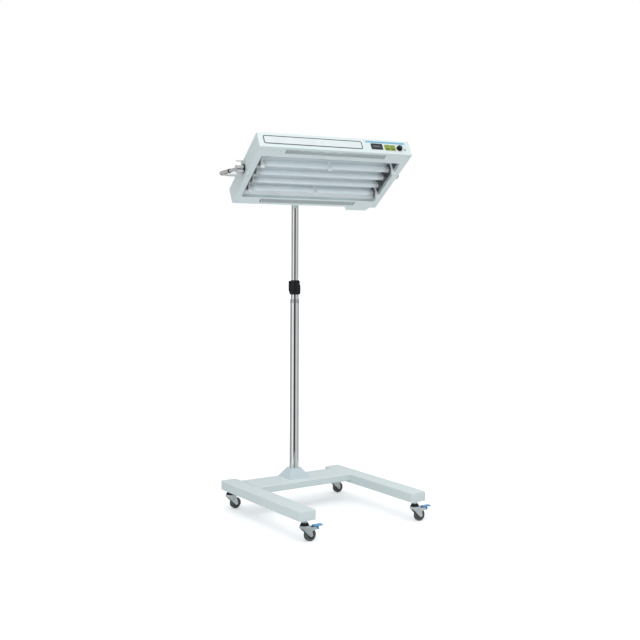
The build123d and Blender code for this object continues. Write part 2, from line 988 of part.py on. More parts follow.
def cover_knobs():
    """Ball knobs on a small foot, screwed on the studs."""
    outside, inside = cover_levels()
    ball_level = outside - knob_height + knob_ball_radius
    knob = Pos(0, 0, ball_level) * Sphere(knob_ball_radius)
    knob += rod(knob_foot_radius, outside - knob_foot_height, outside)
    knob -= rod(post_stud_radius, outside - knob_height / 2, outside + overrun)
    return group([Pos(x, y) * knob for x, y in post_places()])


# Tilt trunnions


def trunnions():
    """Plates inside the end walls, each with a pivot pin through the wall."""
    plate = rounded_block(
        (-trunnion_width / 2, trunnion_width / 2),
        (-trunnion_length / 2, trunnion_length / 2),
        (half_length - box_sheet - trunnion_sheet, half_length - box_sheet),
        trunnion_edge,
    )
    start = half_length - box_sheet - trunnion_sheet
    left = along_x(plate + rod(pivot_radius, start, arm_middle + clamp_width / 2))
    right_end = arm_middle + eye_width / 2 + part_clearance + pivot_cap_length / 2
    right = along_x(plate + rod(pivot_radius, start, right_end))
    return group([right, mirror(left, Plane.YZ)])


def pivot_trim():
    """Friction discs inside the arm ends and a cap on the right pin."""
    disc = along_x(pipe(disc_radius, pivot_radius, half_length, half_length + disc_thickness))
    start = arm_middle + eye_width / 2 + part_clearance
    cap = rod(pivot_cap_radius, start, start + pivot_cap_length)
    cap = chamfer(cap.edges().sort_by(Axis.Z)[-1], pivot_cap_edge)
    cap -= rod(pivot_radius, start - overrun, start + pivot_cap_length / 2)
    return group([disc, mirror(disc, Plane.YZ), along_x(cap)])


# Controls


def counter_case():
    """Hour counter: a bezel on the panel and a body behind it."""
    bezel = rounded_block(
        (-counter_length / 2, counter_length / 2),
        (-counter_height / 2, counter_height / 2),
        (0, counter_bezel),
        counter_edge,
        counter_edge / 2,
    )
    body = block(
        (-counter_length / 2 + counter_body, counter_length / 2 - counter_body),
        (-counter_height / 2 + counter_body, counter_height / 2 - counter_body),
        (-counter_body_depth, 0),
    )
    recess = window_block(counter_bezel + overrun)
    return on_front(bezel + body - recess, counter_place, counter_drop)


def window_block(top):
    half_x = counter_length / 2 - counter_rim
    half_y = counter_height / 2 - counter_rim
    return block((-half_x, half_x), (-half_y, half_y), (counter_bezel / 2 - window_sheet / 2, top))


def counter_window():
    window = window_block(counter_bezel / 2 + window_sheet / 2)
    return on_front(window, counter_place, counter_drop)


def switch_body_block(top):
    half_x = switch_width / 2 - switch_rim / 2
    half_y = switch_height / 2 - switch_rim / 2
    return block((-half_x, half_x), (-half_y, half_y), (-switch_body_depth, top))


def rocker_frames():
    """Two switch bodies, each with a rim and a well for its rocker."""
    half_x = switch_width / 2
    half_y = switch_height / 2
    rim = rounded_block((-half_x, half_x), (-half_y, half_y), (0, switch_bezel), switch_rim / 2)
    frame = rim + switch_body_block(0)
    frame -= block(
        (-half_x + switch_rim, half_x - switch_rim),
        (-half_y + switch_rim, half_y - switch_rim),
        (-rocker_back - switch_body_wall - part_clearance, switch_bezel + overrun),
    )
    return group([on_front(frame, place, switch_drop) for place in switch_places()])


def rocker(place):
    """Rocker with a shallow V face, pressed in at its upper end."""
    half_x = switch_width / 2 - switch_rim - part_clearance
    half_y = switch_height / 2 - switch_rim - part_clearance
    end = half_y - rocker_face * sin(radians(rocker_angle))
    face = Polyline(
        (-end, rocker_face),
        (0, rocker_dip),
        (end, rocker_face),
        (end - rocker_back / 2, -rocker_back),
        (-end + rocker_back / 2, -rocker_back),
        close=True,
    )
    cap = extrude(Plane.YZ * make_face(face), half_x, both=True)
    pivot_level = switch_bezel - rocker_pivot_depth
    return on_front(Pos(0, 0, pivot_level) * Rot(-rocker_angle, 0, 0) * cap, place, switch_drop)


def rotary_switch():
    """Round switch body behind the panel with a threaded bush through it."""
    body = rod(dial_body_radius, -dial_body_depth, -box_sheet)
    body += rod(dial_bush_radius, -box_sheet, dial_gap)
    body -= rod(dial_shaft_radius + run_clearance, -dial_body_depth / 2, dial_gap + overrun)
    return on_front(body, dial_place, dial_drop)


def rotary_knob():
    """Fluted knob with a skirt and its shaft."""
    start = dial_gap + part_clearance
    top = start + dial_height
    grip = rod(dial_radius, start, top)
    grip = chamfer(grip.edges().sort_by(Axis.Z)[-1], dial_edge)
    for flute in range(dial_flutes):
        angle = radians(360 / dial_flutes * flute)
        cut = rod(dial_flute_radius, start + dial_skirt, top + overrun)
        grip -= Pos(dial_radius * cos(angle), dial_radius * sin(angle)) * cut
    knob = grip + rod(dial_skirt_radius, start, start + dial_skirt)
    knob += rod(dial_shaft_radius, -dial_body_depth / 2 + part_clearance, start + dial_skirt)
    return on_front(knob, dial_place, dial_drop)


# Mains box


def mains_box():
    """Shallow cover on the rear face with bevelled ends."""

    def outline(inset):
        left = mains_left + inset
        right = mains_right - inset
        far = half_width + mains_depth - inset
        bevel = mains_bevel - inset / 2
        return make_face(
            Polyline(
                (left, half_width),
                (left + bevel, far),
                (right - bevel, far),
                (right, half_width),
                close=True,
            )
        )

    outer = Pos(0, 0, underside) * extrude(outline(0), mains_height)
    inner = Pos(0, 0, underside + box_sheet) * extrude(
        outline(box_sheet), mains_height - box_sheet - box_sheet
    )
    gland = Pos(mains_left + gland_place, half_width, underside + gland_rise)
    return outer - inner - gland * along_y(rod(gland_thread_radius, 0, mains_depth + overrun))


def mains_gland():
    """Cable gland: thread and nut, hexagon and dome, bored for the mains cable."""
    wall = mains_depth
    body = rod(gland_thread_radius, wall - gland_inside, wall)
    body += hexagon(gland_radius, wall, wall + gland_nut_height)
    top = wall + gland_nut_height + gland_dome
    dome = Cone(gland_radius * cos(radians(30)), gland_mouth_radius, gland_dome)
    body += Pos(0, 0, top - gland_dome / 2) * dome
    body -= rod(gland_bore, 0, top + overrun)
    place = Pos(mains_left + gland_place, half_width, underside + gland_rise)
    return place * along_y(body)


# Casters


def at_caster(name, solid):
    x, y = stem_places()[name]
    return Pos(x, y) * solid


def at_wheel(solid):
    """Turn a wheel piece made on Z onto the axle."""
    return Pos(wheel_trail, 0, wheel_radius) * along_y(solid)


def dust_cap_levels():
    bottom = fork_crown_top + race_height + part_clearance
    return bottom, bottom + dust_cap_height


def caster_stems():
    """Stems through the leg floors, each with a head, a collar and a nut."""
    head_top = fork_crown_top - fork_sheet - part_clearance
    cap_bottom, cap_top = dust_cap_levels()
    floor = leg_bottom + leg_floor_sheet
    stem = turned(
        [
            (0, head_top - stem_head),
            (stem_head_radius, head_top - stem_head),
            (stem_head_radius, head_top),
            (stem_radius, head_top),
            (stem_radius, cap_top),
            (stem_collar_radius, cap_top),
            (stem_collar_radius, leg_bottom),
            (stem_radius, leg_bottom),
            (stem_radius, floor + stem_above),
            (0, floor + stem_above),
        ]
    )
    stem += hexagon(stem_nut_radius, floor, floor + stem_nut)
    return group([at_caster(name, stem) for name in stem_places()])


def caster_caps():
    """Moulded dust caps over the ball races, pressed on the stems."""
    bottom, top = dust_cap_levels()
    cap = turned(
        [(stem_radius, bottom), (dust_cap_radius, bottom), (dust_cap_top_radius, top), (stem_radius, top)]
    )
    return group([at_caster(name, cap) for name in stem_places()])


def caster_fork(name):
    """Pressed fork: crown, two cheeks, ball race and a riveted axle."""
    crown_bottom = fork_crown_top - fork_sheet
    outside = fork_gap + fork_sheet
    boss = Pos(wheel_trail, wheel_radius) * Circle(fork_boss)
    shoulder = Pos((fork_front - fork_back) / 2, crown_bottom + fork_sheet / 2) * Rectangle(
        fork_front + fork_back, fork_sheet
    )
    cheek = make_hull((boss + shoulder).edges())
    if name.startswith("front"):
        ear = Pos(pedal_pivot_out, pedal_pivot_up) * Circle(pedal_ear_radius)
        root = Pos(fork_front / 2, crown_bottom - fork_boss) * Rectangle(fork_front, fork_boss * 2)
        cheek += make_hull((ear + root).edges())
    body = extrude(Plane.XZ * cheek, outside, both=True)
    body -= block(
        (-fork_back - overrun, pedal_pivot_out + fork_back),
        (-fork_gap, fork_gap),
        (-overrun, crown_bottom),
    )
    body -= block(
        (fork_front + part_clearance, pedal_pivot_out + fork_back),
        (-fork_gap, fork_gap),
        (-overrun, fork_crown_top + overrun),
    )
    race = rod(race_radius, crown_bottom, fork_crown_top + race_height)
    race = chamfer(race.edges().sort_by(Axis.Z)[-1], race_edge)
    body += race
    bore = stem_radius + run_clearance
    body -= rod(bore, crown_bottom - overrun, fork_crown_top + race_height + overrun)
    axle = rod(axle_radius, -outside, outside)
    for side in (-1, 1):
        head = sorted((side * outside, side * (outside + axle_head)))
        axle += rod(axle_head_radius, head[0], head[1])
    body += at_wheel(axle)
    if name.startswith("front"):
        pin = along_y(rod(pedal_pin_radius, -outside - axle_head / 2, outside + axle_head / 2))
        body += Pos(pedal_pivot_out, 0, pedal_pivot_up) * pin
    return at_caster(name, body)


def caster_hub(name):
    """Wheel centre: boss, web and rim."""
    bore = axle_radius + run_clearance
    rim_outside = wheel_radius - tyre_depth
    half = tyre_width / 2
    web = hub_web / 2
    body = turned(
        [
            (bore, -wheel_gap),
            (hub_boss_radius, -wheel_gap),
            (hub_boss_radius, -web),
            (rim_outside - hub_rim, -web),
            (rim_outside - hub_rim, -half),
            (rim_outside, -half),
            (rim_outside, half),
            (rim_outside - hub_rim, half),
            (rim_outside - hub_rim, web),
            (hub_boss_radius, web),
            (hub_boss_radius, wheel_gap),
            (bore, wheel_gap),
        ]
    )
    return at_caster(name, at_wheel(body))


def caster_tyre(name):
    """Solid tyre with sloped shoulders."""
    inside = wheel_radius - tyre_depth
    half = tyre_width / 2
    shoulder = wheel_radius - tyre_edge
    body = turned(
        [
            (inside, -half),
            (shoulder, -half),
            (wheel_radius, -half + tyre_edge),
            (wheel_radius, half - tyre_edge),
            (shoulder, half),
            (inside, half),
        ]
    )
    return at_caster(name, at_wheel(body))


def brake_pedal(name):
    """Foot pedal on the fork's ears with a shoe above the tyre."""
    out, up = pedal_pivot_out, pedal_pivot_up
    plate_low = up + pedal_plate_gap
    plate_top = plate_low + pedal_plate
    plate = block(
        (out - pedal_left, out + pedal_right), (-pedal_half_width, pedal_half_width), (plate_low, plate_top)
    )
    plate = fillet(plate.edges().filter_by(Axis.Z), pedal_half_width / 2)
    plate = fillet(plate.faces().sort_by(Axis.Z)[-1].edges(), pedal_edge)
    hub = Pos(out, up) * Circle(pedal_hub_radius)
    stalk = Pos(out, up + pedal_plate_gap / 2 + pedal_edge / 2) * Rectangle(
        pedal_hub_radius * 2, pedal_plate_gap + pedal_edge
    )
    boss = Pos(out + pedal_boss_out, up - pedal_boss_drop) * Circle(pedal_boss_radius)
    boss_stalk = Pos(out + pedal_boss_out, (up - pedal_boss_drop + plate_low + pedal_edge) / 2) * Rectangle(
        pedal_boss_radius, plate_low + pedal_edge - up + pedal_boss_drop
    )
    inner_half = fork_gap - part_clearance
    body = extrude(Plane.XZ * (hub + stalk + boss + boss_stalk), inner_half, both=True)
    shoe_radius = wheel_radius + brake_gap
    first, last = radians(brake_first_angle), radians(brake_last_angle)
    low = (wheel_trail + shoe_radius * cos(first), wheel_radius + shoe_radius * sin(first))
    high = (wheel_trail + shoe_radius * cos(last), wheel_radius + shoe_radius * sin(last))
    shoe = Polyline(low, (out, up), high, close=True)
    body += extrude(Plane.XZ * make_face(shoe), brake_half_width, both=True)
    body -= at_wheel(rod(shoe_radius, -brake_half_width - overrun, brake_half_width + overrun))
    body += plate
    pin = along_y(rod(pedal_pin_radius + run_clearance, -inner_half - overrun, inner_half + overrun))
    return at_caster(name, body - Pos(out, 0, up) * pin)


# All nodes


def base_nodes():
    return {
        "leg_left": leg(-1),
        "leg_right": leg(1),
        "leg_floors": leg_floors(),
        "cross_beam": cross_beam(),
        "foot_cover": foot_cover(),
        "mast_socket": mast_socket(),
        "base_bolts": base_bolts(),
        "mast_outer_tube": mast_outer_tube(),
        "mast_ring": mast_ring(),
        "neck_sleeve": neck_sleeve(),
        "clamp_collar": clamp_collar(),
        "lever_pin": lever_pin(),
        "collar_lever": collar_lever(),
        "mast_inner_tube": mast_inner_tube(),
        "slide_bush": slide_bush(),
        "caster_stems": caster_stems(),
        "caster_caps": caster_caps(),
    }


def yoke_nodes():
    pieces = {
        "yoke_hub": yoke_hub(),
        "yoke_tube": yoke_tube(),
        "yoke_arm_left": yoke_arm_left(),
        "yoke_arm_right": yoke_arm_right(),
        "yoke_ferrules": yoke_ferrules(),
        "hub_knob": hub_knob(),
        "tilt_handle": tilt_handle(),
    }
    return {name: on_mast_head(piece) for name, piece in pieces.items()}


def head_nodes():
    pieces = {
        "housing": housing(),
        "underside_panel": underside_panel(),
        "reflector": reflector(),
        "end_plates": end_plates(),
        "lampholders": lampholders(),
        "lamp_tubes": lamp_tubes(),
        "lamp_end_caps": lamp_end_caps(),
        "ballasts": ballasts(),
        "clear_cover": clear_cover(),
        "cover_posts": cover_posts(),
        "cover_knobs": cover_knobs(),
        "trunnions": trunnions(),
        "pivot_trim": pivot_trim(),
        "counter_case": counter_case(),
        "counter_window": counter_window(),
        "rocker_frames": rocker_frames(),
        "rocker_left": rocker(switch_places()[0]),
        "rocker_right": rocker(switch_places()[1]),
        "rotary_switch": rotary_switch(),
        "rotary_knob": rotary_knob(),
        "mains_box": mains_box(),
        "mains_gland": mains_gland(),
    }
    return {name: on_pivot(piece) for name, piece in pieces.items()}


def caster_nodes():
    nodes = {}
    for name in stem_places():
        nodes["fork_" + name] = caster_fork(name)
        nodes["wheel_hub_" + name] = caster_hub(name)
        nodes["tyre_" + name] = caster_tyre(name)
        if name.startswith("front"):
            nodes["brake_pedal_" + name] = brake_pedal(name)
    return nodes


def joint_points():
    """Points on the joint axes, for the record, before the final move."""
    cap_turn = Pos(0, -half_width, 0)
    points = {
        "mast": Pos(0, 0, pivot_height),
        "tilt": on_pivot(Pos(0, 0, 0)),
        "hub_knob": on_mast_head(Pos(0, 0, -hub_screw_below)),
        "tilt_handle": on_mast_head(Pos(-handle_place, -yoke_depth - handle_screw_place)),
        "collar_lever": facing_lever(Pos(lever_pin_out, 0, collar_bottom + lever_pin_rise)),
        "rotary_knob": on_pivot(cap_turn * Pos(dial_place, 0, -dial_drop)),
        "gland": on_pivot(Pos(mains_left + gland_place, half_width + mains_depth, underside + gland_rise)),
    }
    pivot_level = switch_bezel - rocker_pivot_depth
    for name, place in zip(("rocker_left", "rocker_right"), switch_places()):
        points[name] = on_pivot(Pos(place, -half_width - pivot_level, -switch_drop))
    for name, (x, y) in stem_places().items():
        points["stem_" + name] = Pos(x, y, fork_crown_top)
        points["axle_" + name] = Pos(x + wheel_trail, y, wheel_radius)
        points["pedal_" + name] = Pos(x + pedal_pivot_out, y, pedal_pivot_up)
    return points


def build():
    os.makedirs("parts", exist_ok=True)
    nodes = {**base_nodes(), **yoke_nodes(), **head_nodes(), **caster_nodes()}
    boxes = [solid.bounding_box() for solid in nodes.values()]
    low_x, high_x = min(b.min.X for b in boxes), max(b.max.X for b in boxes)
    low_y, high_y = min(b.min.Y for b in boxes), max(b.max.Y for b in boxes)
    to_middle = Pos(-(low_x + high_x) / 2, -(low_y + high_y) / 2)
    for name, solid in nodes.items():
        export_step(to_middle * solid, f"parts/{name}.step")
    print("moved by", to_middle.position)
    for name, place in joint_points().items():
        spot = to_middle * place
        print(name, spot.position, spot.orientation)


build()
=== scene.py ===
import json
import math
import bpy
import bmesh
from mathutils import Matrix, Vector
from mathutils.bvhtree import BVHTree


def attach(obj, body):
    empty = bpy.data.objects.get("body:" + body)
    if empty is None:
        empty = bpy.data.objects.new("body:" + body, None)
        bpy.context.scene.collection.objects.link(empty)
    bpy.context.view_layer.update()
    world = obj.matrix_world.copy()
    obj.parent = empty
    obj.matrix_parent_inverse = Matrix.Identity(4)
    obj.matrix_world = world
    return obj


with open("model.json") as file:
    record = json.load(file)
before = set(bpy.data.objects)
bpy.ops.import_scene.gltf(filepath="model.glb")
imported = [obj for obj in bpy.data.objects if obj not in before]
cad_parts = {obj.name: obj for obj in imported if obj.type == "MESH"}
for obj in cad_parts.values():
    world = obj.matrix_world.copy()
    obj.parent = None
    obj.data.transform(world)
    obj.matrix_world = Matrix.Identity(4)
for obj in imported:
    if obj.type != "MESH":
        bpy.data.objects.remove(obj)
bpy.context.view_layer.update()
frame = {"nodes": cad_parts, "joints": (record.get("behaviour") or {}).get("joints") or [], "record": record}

scene = bpy.context.scene
print("frame loaded:", len(frame["nodes"]), "nodes")

# Camera

cameraSetup = {
    "place": (-2.2841, -3.4265, 1.0941),
    "azimuth": -33.9,
    "elevation": 3.3,
    "roll": 0.3,
    "focalPixels": 956.0,
    "framePixels": 640.0,
    "sensor": 36.0,
    "farEnd": 100.0,
}


def makeCamera(setup):
    azimuth = math.radians(setup["azimuth"])
    elevation = math.radians(setup["elevation"])
    roll = math.radians(setup["roll"])
    back = Vector((
        math.sin(azimuth) * math.cos(elevation),
        -math.cos(azimuth) * math.cos(elevation),
        math.sin(elevation),
    ))
    level = Vector((math.cos(azimuth), math.sin(azimuth), 0))
    upright = back.cross(level)
    right = level * math.cos(roll) + upright * math.sin(roll)
    up = upright * math.cos(roll) - level * math.sin(roll)
    data = bpy.data.cameras.new("photoCamera")
    data.sensor_width = setup["sensor"]
    data.lens = setup["focalPixels"] / setup["framePixels"] * setup["sensor"]
    data.clip_end = setup["farEnd"]
    camera = bpy.data.objects.new("photoCamera", data)
    turn = Matrix((right, up, back)).transposed().to_4x4()
    camera.matrix_world = Matrix.Translation(setup["place"]) @ turn
    scene.collection.objects.link(camera)
    scene.camera = camera


makeCamera(cameraSetup)
print("camera set")

# The lamp box's own frame: X along it, Y from its front to its rear, Z out of its top

boxSetup = {
    "length": 0.684, "width": 0.388, "height": 0.071, "tilt": 31.5, "skin": 0.00149, "turned": 0.05,
}
wellSetup = {"halfLength": 0.314, "front": 0.132, "rear": 0.146, "slack": 0.0007}


def jointNamed(name):
    return next(joint for joint in frame["joints"] if joint["name"] == name)


tiltJoint = jointNamed("head_tilt")
tiltAxis = Vector(tiltJoint["axis"]).normalized()
headTurn = math.atan2(tiltAxis.y, tiltAxis.x)
boxMiddle = Vector(tiltJoint["pos_m"])
boxMatrix = (
    Matrix.Translation(boxMiddle)
    @ Matrix.Rotation(headTurn, 4, "Z")
    @ Matrix.Rotation(-math.radians(boxSetup["tilt"]), 4, "X")
)

# Shader helpers


def addNode(tree, kind, **settings):
    node = tree.nodes.new(kind)
    for name, value in settings.items():
        setattr(node, name, value)
    return node


def feed(tree, socket, value):
    # a socket takes either a link or a plain value
    if isinstance(value, bpy.types.NodeSocket):
        tree.links.new(value, socket)
    else:
        socket.default_value = value


def mathNode(tree, operation, *values, clamp=False):
    node = addNode(tree, "ShaderNodeMath", operation=operation, use_clamp=clamp)
    for socket, value in zip(node.inputs, values):
        feed(tree, socket, value)
    return node.outputs["Value"]


def mixColors(tree, factor, first, second):
    node = addNode(tree, "ShaderNodeMix", data_type="RGBA")
    factorIn, firstIn, secondIn = node.inputs[0], node.inputs[6], node.inputs[7]
    feed(tree, factorIn, factor)
    feed(tree, firstIn, first)
    feed(tree, secondIn, second)
    return node.outputs[2]


def remap(tree, value, low, high, toLow=0.0, toHigh=1.0):
    node = addNode(tree, "ShaderNodeMapRange", interpolation_type="SMOOTHSTEP")
    feed(tree, node.inputs["Value"], value)
    node.inputs["From Min"].default_value = low
    node.inputs["From Max"].default_value = high
    node.inputs["To Min"].default_value = toLow
    node.inputs["To Max"].default_value = toHigh
    return node.outputs["Result"]


def newGroup(name, inputs, outputs):
    group = bpy.data.node_groups.new(name, "ShaderNodeTree")
    for label, value in inputs.items():
        kind = "NodeSocketColor" if isinstance(value, tuple) else "NodeSocketFloat"
        socket = group.interface.new_socket(name=label, in_out="INPUT", socket_type=kind)
        socket.default_value = value
    for label, kind in outputs.items():
        group.interface.new_socket(name=label, in_out="OUTPUT", socket_type=kind)
    return group, addNode(group, "NodeGroupInput"), addNode(group, "NodeGroupOutput")


mottleSetup = {"scale": 6.0, "detail": 4.0, "from": 0.35, "to": 0.65}


def makeMottle(setup):
    # broad soft colour change, as on any sprayed or moulded surface
    group, given, result = newGroup(
        "mottle",
        {"Color": (0.8, 0.8, 0.8, 1.0), "Shade": (0.7, 0.7, 0.7, 1.0), "Scale": setup["scale"]},
        {"Color": "NodeSocketColor", "Mask": "NodeSocketFloat"},
    )
    place = addNode(group, "ShaderNodeTexCoord")
    noise = addNode(group, "ShaderNodeTexNoise")
    noise.inputs["Detail"].default_value = setup["detail"]
    feed(group, noise.inputs["Vector"], place.outputs["Object"])
    feed(group, noise.inputs["Scale"], given.outputs["Scale"])
    mask = remap(group, noise.outputs["Fac"], setup["from"], setup["to"])
    color = mixColors(group, mask, given.outputs["Color"], given.outputs["Shade"])
    feed(group, result.inputs["Color"], color)
    feed(group, result.inputs["Mask"], mask)
    return group


grainSetup = {"scale": 900.0, "detail": 2.0}


def makeGrain(setup):
    # fine surface relief: orange peel in paint, moulded grain in plastic
    group, given, result = newGroup(
        "grain", {"Scale": setup["scale"]}, {"Height": "NodeSocketFloat"}
    )
    place = addNode(group, "ShaderNodeTexCoord")
    noise = addNode(group, "ShaderNodeTexNoise")
    noise.inputs["Detail"].default_value = setup["detail"]
    feed(group, noise.inputs["Vector"], place.outputs["Object"])
    feed(group, noise.inputs["Scale"], given.outputs["Scale"])
    feed(group, result.inputs["Height"], noise.outputs["Fac"])
    return group


scuffSetup = {
    "stretch": (1.0, 7.0, 3.0), "turn": (0.4, 0.7, 1.1), "scale": 30.0, "detail": 8.0,
    "roughness": 0.7, "streaks": (0.62, 0.72), "patchScale": 5.0, "patches": (0.50, 0.68),
}


def makeScuffs(setup):
    # sparse fine scratches, longer in one direction and gathered in patches
    group, given, result = newGroup("scuffs", {"Amount": 0.3}, {"Mask": "NodeSocketFloat"})
    place = addNode(group, "ShaderNodeTexCoord")
    stretch = addNode(group, "ShaderNodeMapping", vector_type="POINT")
    stretch.inputs["Scale"].default_value = setup["stretch"]
    stretch.inputs["Rotation"].default_value = setup["turn"]
    feed(group, stretch.inputs["Vector"], place.outputs["Object"])
    fine = addNode(group, "ShaderNodeTexNoise")
    fine.inputs["Scale"].default_value = setup["scale"]
    fine.inputs["Detail"].default_value = setup["detail"]
    fine.inputs["Roughness"].default_value = setup["roughness"]
    feed(group, fine.inputs["Vector"], stretch.outputs["Vector"])
    patch = addNode(group, "ShaderNodeTexNoise")
    patch.inputs["Scale"].default_value = setup["patchScale"]
    feed(group, patch.inputs["Vector"], place.outputs["Object"])
    streak = remap(group, fine.outputs["Fac"], *setup["streaks"])
    where = remap(group, patch.outputs["Fac"], *setup["patches"])
    both = mathNode(group, "MULTIPLY", streak, where)
    feed(group, result.inputs["Mask"], mathNode(group, "MULTIPLY", both, given.outputs["Amount"]))
    return group


wearSetup = {"scale": 38.0, "detail": 7.0, "blots": (0.42, 0.70)}


def makeFloorWear(setup):
    # dust and shoe marks that gather towards the floor
    group, given, result = newGroup(
        "floorWear", {"Top": 0.14, "Amount": 0.5}, {"Mask": "NodeSocketFloat"}
    )
    place = addNode(group, "ShaderNodeTexCoord")
    split = addNode(group, "ShaderNodeSeparateXYZ")
    feed(group, split.inputs["Vector"], place.outputs["Object"])
    ratio = mathNode(group, "DIVIDE", split.outputs["Z"], given.outputs["Top"], clamp=True)
    low = mathNode(group, "SUBTRACT", 1.0, ratio)
    noise = addNode(group, "ShaderNodeTexNoise")
    noise.inputs["Scale"].default_value = setup["scale"]
    noise.inputs["Detail"].default_value = setup["detail"]
    feed(group, noise.inputs["Vector"], place.outputs["Object"])
    blot = remap(group, noise.outputs["Fac"], *setup["blots"])
    both = mathNode(group, "MULTIPLY", blot, low)
    feed(group, result.inputs["Mask"], mathNode(group, "MULTIPLY", both, given.outputs["Amount"]))
    return group


def along(tree, vector, direction):
    node = addNode(tree, "ShaderNodeVectorMath", operation="DOT_PRODUCT")
    feed(tree, node.inputs[0], vector)
    node.inputs[1].default_value = direction
    return node.outputs["Value"]


def fromMiddle(tree):
    # the shaded point as seen from the lamp box's middle
    place = addNode(tree, "ShaderNodeTexCoord")
    offset = addNode(tree, "ShaderNodeVectorMath", operation="SUBTRACT")
    feed(tree, offset.inputs[0], place.outputs["Object"])
    offset.inputs[1].default_value = boxMiddle
    return offset.outputs["Vector"]


def makeBoxInsideShade(box, well):
    # marks what lies within the lamp box's sheet, but not in its lamp well, to paint shade there;
    # the skin is a hair thinner than the sheet, so the sheet's inner faces are marked too
    group, given, result = newGroup(
        "boxInside", {"Skin": box["skin"]}, {"Mask": "NodeSocketFloat"}
    )
    offset = fromMiddle(group)
    runs = [along(group, offset, boxMatrix.col[axis].xyz) for axis in range(3)]
    mask = None
    for run, size in zip(runs, (box["length"], box["width"], box["height"])):
        limit = mathNode(group, "SUBTRACT", size / 2, given.outputs["Skin"])
        within = mathNode(group, "LESS_THAN", mathNode(group, "ABSOLUTE", run), limit)
        mask = within if mask is None else mathNode(group, "MULTIPLY", mask, within)
    wellMiddle = (well["rear"] - well["front"]) / 2
    wellHalf = (well["rear"] + well["front"]) / 2 + well["slack"]
    side = mathNode(group, "ABSOLUTE", mathNode(group, "SUBTRACT", runs[1], wellMiddle))
    end = mathNode(group, "ABSOLUTE", runs[0])
    beyondSide = mathNode(group, "GREATER_THAN", side, wellHalf)
    beyondEnd = mathNode(group, "GREATER_THAN", end, well["halfLength"] + well["slack"])
    beyond = mathNode(group, "MAXIMUM", beyondSide, beyondEnd)
    feed(group, result.inputs["Mask"], mathNode(group, "MULTIPLY", mask, beyond))
    return group


def makeBoxBacksShade(box):
    # marks faces that look out to the box's walls or roof, such as the reflector's back, to paint shade
    # there
    group, given, result = newGroup(
        "boxBacks", {"Turned": box["turned"]}, {"Mask": "NodeSocketFloat"}
    )
    shape = addNode(group, "ShaderNodeNewGeometry")
    normal = shape.outputs["True Normal"]
    across = boxMatrix.col[1].xyz
    side = mathNode(group, "SIGN", along(group, fromMiddle(group), across))
    outward = mathNode(group, "MULTIPLY", side, along(group, normal, across))
    upward = along(group, normal, boxMatrix.col[2].xyz)
    turned = mathNode(group, "MAXIMUM", outward, upward)
    back = mathNode(group, "GREATER_THAN", turned, given.outputs["Turned"])
    feed(group, result.inputs["Mask"], back)
    return group


# what polished metal sees round the studio, by compass direction: white walls and dark flags
studioBands = [
    (0.000, 0.92), (0.070, 0.95), (0.112, 0.10), (0.156, 0.03), (0.200, 0.07), (0.240, 0.55),
    (0.300, 0.72), (0.400, 0.42), (0.500, 0.48), (0.600, 0.95), (0.690, 0.16), (0.760, 0.50),
    (0.860, 0.34), (0.940, 0.40), (1.000, 0.92),
]


def makeStudioBands(bands):
    group, given, result = newGroup(
        "studioBands", {"X": 0.0, "Y": 0.0}, {"Color": "NodeSocketColor"}
    )
    compass = mathNode(group, "ARCTAN2", given.outputs["Y"], given.outputs["X"])
    share = mathNode(group, "MULTIPLY_ADD", compass, 0.5 / math.pi, 0.5)
    ramp = addNode(group, "ShaderNodeValToRGB")
    ramp.color_ramp.interpolation = "EASE"
    points = ramp.color_ramp.elements
    points[0].position, points[1].position = bands[0][0], bands[-1][0]
    points[0].color, points[1].color = rgba((bands[0][1],) * 3), rgba((bands[-1][1],) * 3)
    for position, level in bands[1:-1]:
        points.new(position).color = rgba((level,) * 3)
    feed(group, ramp.inputs["Fac"], share)
    feed(group, result.inputs["Color"], ramp.outputs["Color"])
    return group


def rgba(color):
    return (*color, 1.0)


def shaded(color, share):
    return tuple(part * share for part in color)


groups = {
    "mottle": makeMottle(mottleSetup),
    "boxInside": makeBoxInsideShade(boxSetup, wellSetup),
    "boxBacks": makeBoxBacksShade(boxSetup),
    "studioBands": makeStudioBands(studioBands),
    "grain": makeGrain(grainSetup),
    "scuffs": makeScuffs(scuffSetup),
    "floorWear": makeFloorWear(wearSetup),
}
print("shader groups made")


def useGroup(tree, name, **values):
    node = addNode(tree, "ShaderNodeGroup", node_tree=groups[name])
    for label, value in values.items():
        feed(tree, node.inputs[label], value)
    return node


def newMaterial(name):
    material = bpy.data.materials.new(name)
    material.use_nodes = True
    tree = material.node_tree
    return material, tree, tree.nodes["Principled BSDF"]


def mixShaders(tree, factor, first, second):
    node = addNode(tree, "ShaderNodeMixShader")
    for socket, value in zip(node.inputs, (factor, first, second)):
        feed(tree, socket, value)
    return node.outputs["Shader"]


def eitherRay(tree, rays, first, second):
    return mathNode(tree, "MAXIMUM", rays.outputs[first], rays.outputs[second])


def addBump(tree, shader, height, strength, distance):
    bump = addNode(tree, "ShaderNodeBump")
    bump.inputs["Strength"].default_value = strength
    bump.inputs["Distance"].default_value = distance
    feed(tree, bump.inputs["Height"], height)
    feed(tree, shader.inputs["Normal"], bump.outputs["Normal"])


lookDefaults = {
    "shadeShare": 0.93, "mottleScale": 7.0, "roughSpread": 0.06, "metallic": 0.0, "specular": 0.5,
    "coat": 0.0, "coatRough": 0.1, "grainScale": 900.0, "bump": 0.15, "relief": 0.0001,
    "floorWear": 0.0, "wearTop": 0.14, "wearRough": 0.3, "dirt": (0.30, 0.29, 0.27),
    "scuffs": 0.0, "scuffShare": 0.7, "scuffRough": 0.2,
}


